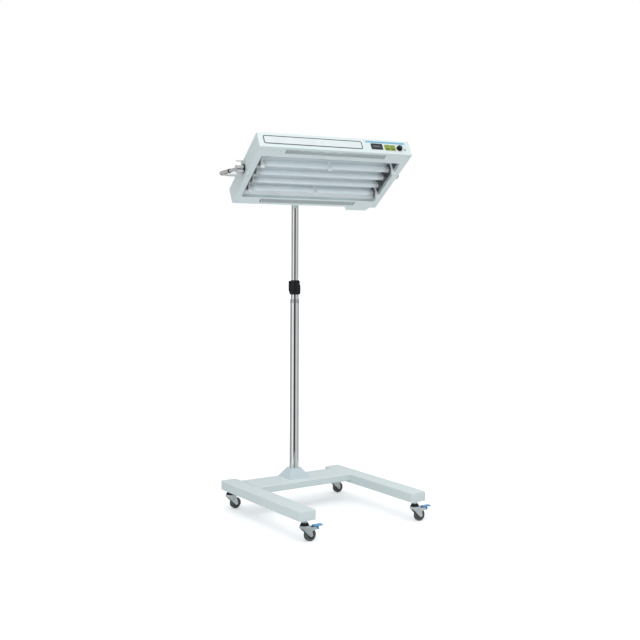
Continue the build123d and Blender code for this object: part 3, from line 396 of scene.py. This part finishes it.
def surface(name, look):
    # one builder for every opaque finish; each look says what differs from the defaults
    look = lookDefaults | look
    material, tree, shader = newMaterial(name)
    color = look["color"]
    shade = look.get("shade", shaded(color, look["shadeShare"]))
    mottle = useGroup(
        tree, "mottle", Color=rgba(color), Shade=rgba(shade), Scale=look["mottleScale"]
    )
    base = mottle.outputs["Color"]
    rough = remap(
        tree, mottle.outputs["Mask"], 0.0, 1.0, look["rough"], look["rough"] + look["roughSpread"]
    )
    if look["floorWear"]:
        wear = useGroup(tree, "floorWear", Top=look["wearTop"], Amount=look["floorWear"])
        base = mixColors(tree, wear.outputs["Mask"], base, rgba(look["dirt"]))
        added = mathNode(tree, "MULTIPLY", wear.outputs["Mask"], look["wearRough"])
        rough = mathNode(tree, "ADD", rough, added)
    if look["scuffs"]:
        marks = useGroup(tree, "scuffs", Amount=look["scuffs"])
        scuffColor = look.get("scuffColor", shaded(color, look["scuffShare"]))
        base = mixColors(tree, marks.outputs["Mask"], base, rgba(scuffColor))
        added = mathNode(tree, "MULTIPLY", marks.outputs["Mask"], look["scuffRough"])
        rough = mathNode(tree, "ADD", rough, added)
    # painted shade: faces within the box's cavity and the reflector's backs are darkened to stand for the
    # shade there
    for groupName, lookName in (("boxInside", "inside"), ("boxBacks", "backsShade")):
        if lookName in look:
            hidden = useGroup(tree, groupName)
            base = mixColors(tree, hidden.outputs["Mask"], base, rgba(look[lookName]))
    feed(tree, shader.inputs["Base Color"], base)
    feed(tree, shader.inputs["Roughness"], rough)
    shader.inputs["Metallic"].default_value = look["metallic"]
    shader.inputs["Coat Weight"].default_value = look["coat"]
    shader.inputs["Coat Roughness"].default_value = look["coatRough"]
    shader.inputs["Specular IOR Level"].default_value = look["specular"]
    grain = useGroup(tree, "grain", Scale=look["grainScale"])
    addBump(tree, shader, grain.outputs["Height"], look["bump"], look["relief"])
    return material


finishes = {
    "white_enamel": {
        "color": (0.72, 0.815, 0.815), "shade": (0.70, 0.795, 0.80), "rough": 0.36, "coat": 0.12,
        "grainScale": 1400.0, "bump": 0.12, "floorWear": 0.16, "scuffs": 0.10,
        # painted shade: the enamel within the lamp box's cavity is nearly black, standing for the shade
        # there
        "inside": (0.03, 0.034, 0.036),
    },
    "reflector_white": {
        "color": (0.92, 0.98, 1.0), "shade": (0.90, 0.96, 0.98), "rough": 0.24, "metallic": 0.2,
        "mottleScale": 2.0, "roughSpread": 0.02, "grainScale": 500.0, "bump": 0.01,
        # painted shade: the reflector's backs, facing the box's walls, are nearly black
        "backsShade": (0.06, 0.066, 0.07),
    },
    # painted shade: this dark grey-blue stands for the shade on the lamp well's end walls
    "dark_panel": {"color": (0.10, 0.14, 0.15), "rough": 0.30, "scuffs": 0.10},
    "chrome_tube": {
        "color": (0.84, 0.86, 0.865), "shade": (0.80, 0.82, 0.83), "rough": 0.05,
        "roughSpread": 0.03, "metallic": 1.0, "mottleScale": 20.0, "scuffs": 0.12,
        "grainScale": 500.0, "bump": 0.02,
    },
    "zinc_steel": {
        "color": (0.72, 0.79, 0.79), "shade": (0.62, 0.68, 0.68), "rough": 0.30,
        "roughSpread": 0.16, "metallic": 0.45, "mottleScale": 60.0, "scuffs": 0.25,
        "bump": 0.10, "floorWear": 0.25, "wearTop": 0.08,
    },
    "grey_ring": {
        "color": (0.60, 0.61, 0.63), "rough": 0.30, "metallic": 1.0, "mottleScale": 40.0,
        "bump": 0.08,
    },
    "black_plastic": {
        "color": (0.008, 0.011, 0.013), "shade": (0.013, 0.016, 0.018), "rough": 0.42,
        "roughSpread": 0.10, "specular": 0.28, "grainScale": 2600.0, "bump": 0.25,
        "scuffs": 0.18, "scuffColor": (0.09, 0.09, 0.095),
    },
    "white_plastic": {
        "color": (0.88, 0.92, 0.93), "rough": 0.20, "coat": 0.3, "grainScale": 600.0, "bump": 0.03,
    },
    "grey_plastic": {
        "color": (0.085, 0.09, 0.095), "shade": (0.11, 0.115, 0.12), "rough": 0.38, "bump": 0.2,
        "floorWear": 0.45, "wearTop": 0.06, "dirt": (0.22, 0.21, 0.20),
    },
    "window_plastic": {
        "color": (0.035, 0.045, 0.060), "rough": 0.14, "coat": 0.3, "coatRough": 0.08, "bump": 0.0,
    },
    "rocker_plastic": {
        "color": (0.24, 0.33, 0.02), "shade": (0.21, 0.29, 0.015), "rough": 0.26, "coat": 0.3,
        "bump": 0.04,
    },
    "pedal_plastic": {
        "color": (0.12, 0.40, 0.70), "shade": (0.10, 0.35, 0.64), "rough": 0.30, "coat": 0.2,
        "scuffs": 0.3, "scuffColor": (0.24, 0.46, 0.70), "bump": 0.10,
        "floorWear": 0.2, "wearTop": 0.07,
    },
    "grey_rubber": {
        "color": (0.085, 0.105, 0.105), "shade": (0.065, 0.08, 0.08), "rough": 0.60,
        "roughSpread": 0.14, "grainScale": 1500.0, "bump": 0.35,
        "floorWear": 0.45, "wearTop": 0.05, "dirt": (0.24, 0.24, 0.23),
    },
    "lamp_cap": {
        "color": (0.66, 0.67, 0.68), "rough": 0.28, "metallic": 1.0, "mottleScale": 90.0,
        "bump": 0.06,
    },
    "ballast_case": {
        "color": (0.50, 0.51, 0.52), "shade": (0.40, 0.41, 0.43), "rough": 0.34, "metallic": 1.0,
        "mottleScale": 120.0,
    },
}


clearLook = {
    "color": (0.985, 0.995, 1.0), "passing": (0.985, 0.99, 0.99), "rough": 0.02, "ior": 1.18,
}


def clearSheet(look):
    # clear acrylic that lets the studio light the lamps through it
    material, tree, shader = newMaterial("clear_sheet")
    shader.inputs["Base Color"].default_value = rgba(look["color"])
    shader.inputs["Roughness"].default_value = look["rough"]
    shader.inputs["IOR"].default_value = look["ior"]
    shader.inputs["Transmission Weight"].default_value = 1.0
    passing = addNode(tree, "ShaderNodeBsdfTransparent")
    passing.inputs["Color"].default_value = rgba(look["passing"])
    rays = addNode(tree, "ShaderNodeLightPath")
    lighting = eitherRay(tree, rays, "Is Shadow Ray", "Is Diffuse Ray")
    shown = mixShaders(tree, lighting, shader.outputs["BSDF"], passing.outputs["BSDF"])
    feed(tree, tree.nodes["Material Output"].inputs["Surface"], shown)
    return material


lampLook = {
    "glass": (0.83, 0.91, 0.95), "shadeShare": 0.97, "mottleScale": 25.0, "rough": 0.06,
    "coat": 0.5, "coatRough": 0.03,
    # painted shade: the glass turns grey over its last few centimetres
    "end": (0.50, 0.53, 0.56), "endShadeShare": 0.8, "endLength": 0.030, "halfLength": 0.2855,
}


def lampGlass(look, direction):
    # phosphor seen through glass, with painted shade making it greyer beside the end caps
    material, tree, shader = newMaterial("lamp_glass")
    distance = mathNode(tree, "ABSOLUTE", along(tree, fromMiddle(tree), direction))
    endStart = look["halfLength"] - look["endLength"]
    end = remap(tree, distance, endStart, look["halfLength"], 0.0, look["endShadeShare"])
    shade = shaded(look["glass"], look["shadeShare"])
    mottle = useGroup(
        tree, "mottle", Color=rgba(look["glass"]), Shade=rgba(shade), Scale=look["mottleScale"]
    )
    color = mixColors(tree, end, mottle.outputs["Color"], rgba(look["end"]))
    feed(tree, shader.inputs["Base Color"], color)
    shader.inputs["Roughness"].default_value = look["rough"]
    shader.inputs["Coat Weight"].default_value = look["coat"]
    shader.inputs["Coat Roughness"].default_value = look["coatRough"]
    return material


materials = {name: surface(name, look) for name, look in finishes.items()}
materials["clear_sheet"] = clearSheet(clearLook)
materials["lamp_glass"] = lampGlass(lampLook, tiltAxis)


def addLook(name, **look):
    materials[name] = surface(name, look)


# the same enamel for the added screws, a slightly darker and bluer enamel for the cover at the mast's
# foot, and a paler green for the rockers' rims
# the screws take the enamel without the painted shade of the box's cavity
plainEnamel = {key: value for key, value in finishes["white_enamel"].items() if key != "inside"}
coverColors = {"color": (0.63, 0.735, 0.765), "shade": (0.61, 0.715, 0.75)}
rimColors = {"color": (0.40, 0.50, 0.12), "shade": (0.37, 0.46, 0.11)}
addLook("white_enamel_plain", **plainEnamel)
addLook("cover_enamel", **(plainEnamel | coverColors))
addLook("rim_green", **(finishes["rocker_plastic"] | rimColors))
print("materials made:", len(materials))

ownLooks = {"foot_cover": "cover_enamel", "rocker_frames": "rim_green"}
for entry in frame["record"]["subparts"]:
    look = ownLooks.get(entry["node"], entry["material_slot"])
    mesh = frame["nodes"][entry["node"]].data
    mesh.materials.clear()
    mesh.materials.append(materials[look])
print("finishes put on the CAD nodes")

# Piece helpers


def pieceFrom(bm, name, body, matrix, looks):
    mesh = bpy.data.meshes.new(name)
    bm.normal_update()
    bm.to_mesh(mesh)
    bm.free()
    mesh.transform(matrix)
    piece = bpy.data.objects.new(name, mesh)
    scene.collection.objects.link(piece)
    for look in looks:
        mesh.materials.append(materials[look])
    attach(piece, body)


def roundedOutline(width, height, corner, steps=6):
    points = []
    for quarter, (sideX, sideY) in enumerate(((1, 1), (-1, 1), (-1, -1), (1, -1))):
        middleX, middleY = sideX * (width / 2 - corner), sideY * (height / 2 - corner)
        for step in range(steps + 1):
            angle = math.pi / 2 * (quarter + step / steps)
            points.append((middleX + corner * math.cos(angle), middleY + corner * math.sin(angle)))
    return points


def circle(radius, steps, place=(0, 0)):
    angles = [2 * math.pi * step / steps for step in range(steps)]
    return [
        (place[0] + radius * math.cos(angle), place[1] + radius * math.sin(angle))
        for angle in angles
    ]


def loopAt(bm, points, level, place=Matrix.Identity(4)):
    return [bm.verts.new(place @ Vector((x, y, level))) for x, y in points]


def joinLoops(bm, lower, upper):
    # the band of faces between two loops of vertices
    nextLower, nextUpper = lower[1:] + lower[:1], upper[1:] + upper[:1]
    return [bm.faces.new(corners) for corners in zip(lower, nextLower, nextUpper, upper)]


def capLoops(bm, bottom, top):
    return [bm.faces.new(top), bm.faces.new(list(reversed(bottom)))]


def addPlate(bm, outline, low, high, place=(0, 0), edge=0.0):
    # a flat plate, whose top edge can be eased by a small bevel
    levels = [(low, 0.0), (high - edge, 0.0), (high, edge)] if edge else [(low, 0.0), (high, 0.0)]
    spanX = max(x for x, _ in outline)
    spanY = max(y for _, y in outline)
    loops = []
    for level, inset in levels:
        shareX, shareY = 1 - inset / spanX, 1 - inset / spanY
        points = [(place[0] + x * shareX, place[1] + y * shareY) for x, y in outline]
        loops.append(loopAt(bm, points, level))
    capLoops(bm, loops[0], loops[-1])
    for lower, upper in zip(loops, loops[1:]):
        joinLoops(bm, lower, upper)


def frontFace(x, drop=0.0):
    # a frame on the box's front face: X along it, Y up, Z outward
    place = Matrix.Translation((x, -boxSetup["width"] / 2, -drop))
    return boxMatrix @ place @ Matrix.Rotation(math.pi / 2, 4, "X")


# Name plate and stripe on the front face

plateSetup = {
    "middle": -0.1025, "width": 0.436, "height": 0.0405, "corner": 0.009,
    "thick": 0.0006, "line": 0.0040,
}
addLook("plateLine", color=(0.045, 0.055, 0.06), rough=0.35, bump=0.02)
addLook("plateField", color=(0.76, 0.82, 0.83), rough=0.26, coat=0.2, bump=0.02)


def makeNamePlate(setup):
    # the frame line is printed: it and the bare field are flush faces of one plate
    bm = bmesh.new()
    width, height, corner, line = (setup[key] for key in ("width", "height", "corner", "line"))
    outer = roundedOutline(width, height, corner)
    inner = roundedOutline(width - 2 * line, height - 2 * line, corner - line)
    low, high = loopAt(bm, outer, 0), loopAt(bm, outer, setup["thick"])
    rim = loopAt(bm, inner, setup["thick"])
    field = capLoops(bm, low, rim)[0]
    field.material_index = 1
    joinLoops(bm, low, high)
    joinLoops(bm, high, rim)
    place = frontFace(setup["middle"])
    pieceFrom(bm, "namePlate", "lamp_box", place, ["plateLine", "plateField"])


makeNamePlate(plateSetup)

stripeSetup = {
    "from": 0.134, "to": 0.319, "rise": 0.0208, "height": 0.0085, "thick": 0.0004,
    "cornerShare": 0.3, "cornerSteps": 3,
}
addLook("stripeBlue", color=(0.17, 0.46, 0.65), rough=0.30, coat=0.2, bump=0.02)


def makeStripe(setup):
    bm = bmesh.new()
    length, height = setup["to"] - setup["from"], setup["height"]
    outline = roundedOutline(length, height, height * setup["cornerShare"], setup["cornerSteps"])
    addPlate(bm, outline, 0, setup["thick"])
    place = frontFace((setup["from"] + setup["to"]) / 2, -setup["rise"])
    pieceFrom(bm, "blueStripe", "lamp_box", place, ["stripeBlue"])


makeStripe(stripeSetup)
print("plate and stripe made")

# Marks on the controls


def worldPoints(nodeName):
    node = frame["nodes"][nodeName]
    return [node.matrix_world @ vertex.co for vertex in node.data.vertices]


def skinOf(nodeName):
    faces = [tuple(face.vertices) for face in frame["nodes"][nodeName].data.polygons]
    return BVHTree.FromPolygons(worldPoints(nodeName), faces)


def drape(bm, skin, place, sink, reach=0.04):
    # lay a flat mark on the face below it, a little sunk; Z of the place points out of that face
    inward = -(place.to_3x3() @ Vector((0, 0, 1))).normalized()
    for vertex in bm.verts:
        start = place @ Vector((vertex.co.x, vertex.co.y, reach))
        hit, _, _, distance = skin.ray_cast(start, inward, reach * 2)
        if hit is not None:
            vertex.co.z += reach - distance - sink


def controlFace(jointName):
    # the front face's frame at a control's joint
    middle = boxMatrix.inverted() @ Vector(jointNamed(jointName)["pos_m"])
    return frontFace(middle.x, -middle.z)


def addRing(bm, outerRadius, innerRadius, low, high, place=(0, 0), steps=24):
    outer, inner = circle(outerRadius, steps, place), circle(innerRadius, steps, place)
    corners = ((outer, low), (outer, high), (inner, high), (inner, low))
    loops = [loopAt(bm, points, level) for points, level in corners]
    for first, second in zip(loops, loops[1:] + loops[:1]):
        joinLoops(bm, first, second)


markSetup = {
    "thick": 0.0002, "sinkShare": 0.4, "spread": 0.0060, "ringOuter": 0.0030, "ringInner": 0.0016,
    "barWidth": 0.0018, "barHeight": 0.0058, "barCorner": 0.3, "barSteps": 2,
    "pointerWidth": 0.0016, "pointerFrom": 0.0015, "pointerTo": 0.0085, "pointerCorner": 0.4,
    "pointerSteps": 3,
}
addLook("darkMark", color=(0.075, 0.10, 0.012), rough=0.4, bump=0.05)
addLook("paleMark", color=(0.78, 0.80, 0.80), rough=0.4, bump=0.05)


def makeRockerMarks(setup, side):
    # a bar on the upper half of the rocker and a ring on its lower half
    rocker, name = "rocker_" + side, "marksRocker" + side.capitalize()
    place = controlFace(rocker + "_press")
    bm = bmesh.new()
    width, thick, spread = setup["barWidth"], setup["thick"], setup["spread"]
    corner = width * setup["barCorner"]
    bar = roundedOutline(width, setup["barHeight"], corner, setup["barSteps"])
    addPlate(bm, bar, 0, thick, (0, spread))
    addRing(bm, setup["ringOuter"], setup["ringInner"], 0, thick, (0, -spread))
    drape(bm, skinOf(rocker), place, thick * setup["sinkShare"])
    pieceFrom(bm, name, rocker, place, ["darkMark"])


def makePointer(setup):
    place = controlFace("rotary_knob_turn")
    bm = bmesh.new()
    width, thick = setup["pointerWidth"], setup["thick"]
    start, end = setup["pointerFrom"], setup["pointerTo"]
    corner = width * setup["pointerCorner"]
    line = roundedOutline(width, end - start, corner, setup["pointerSteps"])
    addPlate(bm, line, 0, thick, (0, (end + start) / 2))
    drape(bm, skinOf("rotary_knob"), place, thick * setup["sinkShare"])
    pieceFrom(bm, "knobPointer", "rotary_knob", place, ["paleMark"])


for side in ("left", "right"):
    makeRockerMarks(markSetup, side)
makePointer(markSetup)

counterSetup = {
    "drop": 0.0025, "endGap": 0.160, "figures": "00000", "pitch": 0.0066, "thick": 0.00015,
    "cellWidth": 0.0060, "cellHeight": 0.0098, "cellCorner": 0.0006, "cellSteps": 2,
    "letterSize": 0.0098, "curveSteps": 3, "cellSink": 0.5, "figureSink": 0.3,
}
addLook("drumBlack", color=(0.012, 0.014, 0.018), rough=0.5, bump=0.05)
addLook("drumPrint", color=(0.30, 0.33, 0.36), rough=0.5, bump=0.05)


def figureMesh(figure, setup):
    curve = bpy.data.curves.new("digit", "FONT")
    curve.body = figure
    curve.size = setup["letterSize"]
    curve.align_x = "CENTER"
    curve.align_y = "CENTER"
    curve.resolution_u = setup["curveSteps"]
    holder = bpy.data.objects.new("digit", curve)
    scene.collection.objects.link(holder)
    depsgraph = bpy.context.evaluated_depsgraph_get()
    mesh = bpy.data.meshes.new_from_object(holder.evaluated_get(depsgraph))
    bpy.data.objects.remove(holder)
    return mesh


def makeCounterDrums(setup):
    # plain number drums of the hour counter, seen through its window
    place = frontFace(boxSetup["length"] / 2 - setup["endGap"], setup["drop"])
    skin = skinOf("counter_window")
    figures, pitch, thick = setup["figures"], setup["pitch"], setup["thick"]
    first = -pitch * (len(figures) - 1) / 2
    cell = roundedOutline(
        setup["cellWidth"], setup["cellHeight"], setup["cellCorner"], setup["cellSteps"]
    )
    bm = bmesh.new()
    for index in range(len(figures)):
        addPlate(bm, cell, 0, thick, (first + index * pitch, 0))
    drape(bm, skin, place, thick * setup["cellSink"])
    pieceFrom(bm, "counterDrums", "lamp_box", place, ["drumBlack"])
    bm = bmesh.new()
    for index, figure in enumerate(figures):
        mesh = figureMesh(figure, setup)
        mesh.transform(Matrix.Translation((first + index * pitch, 0, thick)))
        bm.from_mesh(mesh)
    drape(bm, skin, place, thick * setup["figureSink"])
    pieceFrom(bm, "counterDigits", "lamp_box", place, ["drumPrint"])


makeCounterDrums(counterSetup)

tagSetup = {
    "middle": 0.312, "drop": 0.010, "width": 0.013, "height": 0.013, "thick": 0.0004,
    "corner": 0.001, "cornerSteps": 3, "edge": 0.0001,
}
addLook("greyTag", color=(0.50, 0.54, 0.57), rough=0.35, bump=0.03)


def makeTag(setup):
    # the small bare grey tag beside the knob
    bm = bmesh.new()
    outline = roundedOutline(
        setup["width"], setup["height"], setup["corner"], setup["cornerSteps"]
    )
    addPlate(bm, outline, 0, setup["thick"], edge=setup["edge"])
    place = frontFace(setup["middle"], setup["drop"])
    pieceFrom(bm, "greyTag", "lamp_box", place, ["greyTag"])


makeTag(tagSetup)
print("controls marked")

# Screws

screwSetup = {
    "radius": 0.0032, "height": 0.0016, "steps": 16, "slotLength": 0.0042, "slotWidth": 0.0009,
    "dome": ((1.0, 0.0), (1.0, 0.35), (0.86, 0.72), (0.55, 0.95)), "slotLow": 0.5, "slotHigh": 0.96,
}
# painted shade: the screws' cross is dark to stand for the shade in a recess
addLook("screwSlot", color=(0.05, 0.055, 0.06), rough=0.6, bump=0.1)


def addScrew(bm, setup, place):
    # a low dome with a cross painted dark for the shade in its recess; Z of the place points out of the
    # sheet
    height = setup["height"]
    loops = [
        loopAt(bm, circle(setup["radius"] * share, setup["steps"]), height * level, place)
        for share, level in setup["dome"]
    ]
    for lower, upper in zip(loops, loops[1:]):
        for face in joinLoops(bm, lower, upper):
            face.smooth = True
    capLoops(bm, loops[0], loops[-1])
    long, wide = setup["slotLength"] / 2, setup["slotWidth"] / 2
    cross = [
        (long, -wide), (long, wide), (wide, wide), (wide, long), (-wide, long), (-wide, wide),
        (-long, wide), (-long, -wide), (-wide, -wide), (-wide, -long), (wide, -long), (wide, -wide),
    ]
    bottom = loopAt(bm, cross, height * setup["slotLow"], place)
    top = loopAt(bm, cross, height * setup["slotHigh"], place)
    for face in capLoops(bm, bottom, top) + joinLoops(bm, bottom, top):
        face.material_index = 1


def makeScrews(name, body, places, finish):
    bm = bmesh.new()
    for place in places:
        addScrew(bm, screwSetup, place)
    pieceFrom(bm, name, body, Matrix.Identity(4), [finish, "screwSlot"])


def underBox(x, y):
    place = Matrix.Translation((x, y, -boxSetup["height"] / 2))
    return boxMatrix @ place @ Matrix.Rotation(math.pi, 4, "X")


def boxEnd(side, y, z):
    place = Matrix.Translation((side * boxSetup["length"] / 2, y, z))
    return boxMatrix @ place @ Matrix.Rotation(side * math.pi / 2, 4, "Y")


def spanOf(nodeName):
    points = worldPoints(nodeName)
    return (
        Vector([min(point[axis] for point in points) for axis in range(3)]),
        Vector([max(point[axis] for point in points) for axis in range(3)]),
    )


panelSetup = {"endX": 0.329, "rows": (-0.178, 0.0, 0.178), "innerX": 0.245, "innerY": -0.168}
endSetup = {"rows": (-0.024, 0.024), "levels": (-0.019, 0.019)}
legSetup = {
    "legs": ("leg_left", "leg_right"), "fromFront": 0.0405, "fromRear": 0.0345, "count": 5,
    "inset": 0.014,
}


def panelScrews(setup):
    outer = [underBox(side * setup["endX"], y) for side in (-1, 1) for y in setup["rows"]]
    inner = [underBox(side * setup["innerX"], setup["innerY"]) for side in (-1, 1)]
    return outer + inner


def endScrews(setup):
    return [
        boxEnd(side, y, z) for side in (-1, 1) for y in setup["rows"] for z in setup["levels"]
    ]


def legScrews(setup):
    # a zigzag of screws under each leg's floor plate
    places = []
    for nodeName in setup["legs"]:
        low, high = spanOf(nodeName)
        front, rear = low.y + setup["fromFront"], high.y - setup["fromRear"]
        for index in range(setup["count"]):
            x = (low.x + high.x) / 2 + (1 if index % 2 else -1) * setup["inset"]
            y = front + index / (setup["count"] - 1) * (rear - front)
            places.append(Matrix.Translation((x, y, low.z)) @ Matrix.Rotation(math.pi, 4, "X"))
    return places


makeScrews(
    "panelScrews", "lamp_box", panelScrews(panelSetup), "white_enamel_plain"
)
makeScrews("endScrews", "lamp_box", endScrews(endSetup), "zinc_steel")
makeScrews("floorScrews", "base", legScrews(legSetup), "zinc_steel")
print("screws made")

# Floor and light

white = rgba((1.0, 1.0, 1.0))
floorLook = {
    "color": (0.86, 0.87, 0.88), "shadeShare": 0.99, "mottleScale": 2.0, "rough": 0.7,
    "specular": 0.1, "lift": 0.34, "farLift": 0.74, "nearReach": 1.0, "farReach": 4.0,
    "size": 120.0, "mast": (0.0281, 0.2195),
}
worldSetup = {
    "tint": (1.0, 1.01, 1.02), "horizon": 0.30, "zenith": 0.98, "zenithAt": 0.9,
    "overheadFrom": 0.35, "overheadTo": 0.75,
}
softboxes = {
    "topSoftbox": {"place": (-0.8, -1.6, 3.4), "aim": (0, 0, 0.7), "level": 30.0, "size": 2.6},
    "sideSoftbox": {"place": (-3.4, -2.6, 1.9), "aim": (0, 0, 1.0), "level": 5.5, "size": 1.8},
}


def makeFloor(look):
    material, tree, shader = newMaterial("paleFloor")
    shade = shaded(look["color"], look["shadeShare"])
    mottle = useGroup(
        tree, "mottle", Color=rgba(look["color"]), Shade=rgba(shade), Scale=look["mottleScale"]
    )
    feed(tree, shader.inputs["Base Color"], mottle.outputs["Color"])
    shader.inputs["Roughness"].default_value = look["rough"]
    shader.inputs["Specular IOR Level"].default_value = look["specular"]
    place = addNode(tree, "ShaderNodeTexCoord")
    split = addNode(tree, "ShaderNodeSeparateXYZ")
    feed(tree, split.inputs["Vector"], place.outputs["Object"])
    # a faint glow lifts the seen floor towards the paper white behind, more so far away
    reach = addNode(tree, "ShaderNodeVectorMath", operation="LENGTH")
    feed(tree, reach.inputs[0], place.outputs["Object"])
    strength = remap(
        tree, reach.outputs["Value"], look["nearReach"], look["farReach"],
        look["lift"], look["farLift"],
    )
    glow = addNode(tree, "ShaderNodeEmission")
    feed(tree, glow.inputs["Strength"], strength)
    dark = addNode(tree, "ShaderNodeEmission")
    dark.inputs["Strength"].default_value = 0.0
    rays = addNode(tree, "ShaderNodeLightPath")
    seen = eitherRay(tree, rays, "Is Camera Ray", "Is Transmission Ray")
    total = addNode(tree, "ShaderNodeAddShader")
    feed(tree, total.inputs[0], shader.outputs["BSDF"])
    feed(
        tree, total.inputs[1],
        mixShaders(tree, seen, dark.outputs["Emission"], glow.outputs["Emission"]),
    )
    # polished metal sees the studio's flags down to the floor, as it does round the walls
    bands = useGroup(
        tree, "studioBands",
        X=mathNode(tree, "SUBTRACT", split.outputs["X"], look["mast"][0]),
        Y=mathNode(tree, "SUBTRACT", split.outputs["Y"], look["mast"][1]),
    )
    mirrored = addNode(tree, "ShaderNodeEmission")
    feed(tree, mirrored.inputs["Color"], bands.outputs["Color"])
    shown = mixShaders(
        tree, rays.outputs["Is Glossy Ray"], total.outputs["Shader"], mirrored.outputs["Emission"]
    )
    feed(tree, tree.nodes["Material Output"].inputs["Surface"], shown)
    bm = bmesh.new()
    bmesh.ops.create_grid(bm, x_segments=1, y_segments=1, size=look["size"] / 2)
    mesh = bpy.data.meshes.new("floor")
    bm.to_mesh(mesh)
    bm.free()
    mesh.materials.append(material)
    floor = bpy.data.objects.new("floor", mesh)
    scene.collection.objects.link(floor)


def makeSoftbox(name, setup):
    data = bpy.data.lights.new(name, "AREA")
    data.energy = setup["level"]
    data.shape = "DISK"
    data.size = setup["size"]
    light = bpy.data.objects.new(name, data)
    light.location = setup["place"]
    light.rotation_mode = "QUATERNION"
    aim = Vector(setup["aim"]) - Vector(setup["place"])
    light.rotation_quaternion = aim.to_track_quat("-Z", "Y")
    light.visible_glossy = False
    scene.collection.objects.link(light)


def makeWorld(setup):
    # soft light from all round, bands for polished metal, and plain white behind the unit
    world = bpy.data.worlds.new("studio")
    world.use_nodes = True
    scene.world = world
    tree = world.node_tree
    place = addNode(tree, "ShaderNodeTexCoord")
    split = addNode(tree, "ShaderNodeSeparateXYZ")
    feed(tree, split.inputs["Vector"], place.outputs["Generated"])
    height = split.outputs["Z"]
    bands = useGroup(tree, "studioBands", X=split.outputs["X"], Y=split.outputs["Y"])
    overhead = remap(tree, height, setup["overheadFrom"], setup["overheadTo"])
    mirrored = mixColors(tree, overhead, bands.outputs["Color"], white)
    horizon, zenith = (shaded(setup["tint"], setup[key]) for key in ("horizon", "zenith"))
    climb = remap(tree, height, 0.0, setup["zenithAt"])
    soft = mixColors(tree, climb, rgba(horizon), rgba(zenith))
    rays = addNode(tree, "ShaderNodeLightPath")
    lit = mixColors(tree, rays.outputs["Is Glossy Ray"], soft, mirrored)
    seen = eitherRay(tree, rays, "Is Camera Ray", "Is Transmission Ray")
    feed(tree, tree.nodes["Background"].inputs["Color"], mixColors(tree, seen, lit, white))


makeWorld(worldSetup)
makeFloor(floorLook)
for name, setup in softboxes.items():
    makeSoftbox(name, setup)
scene.view_settings.view_transform = "Standard"
print("studio made")
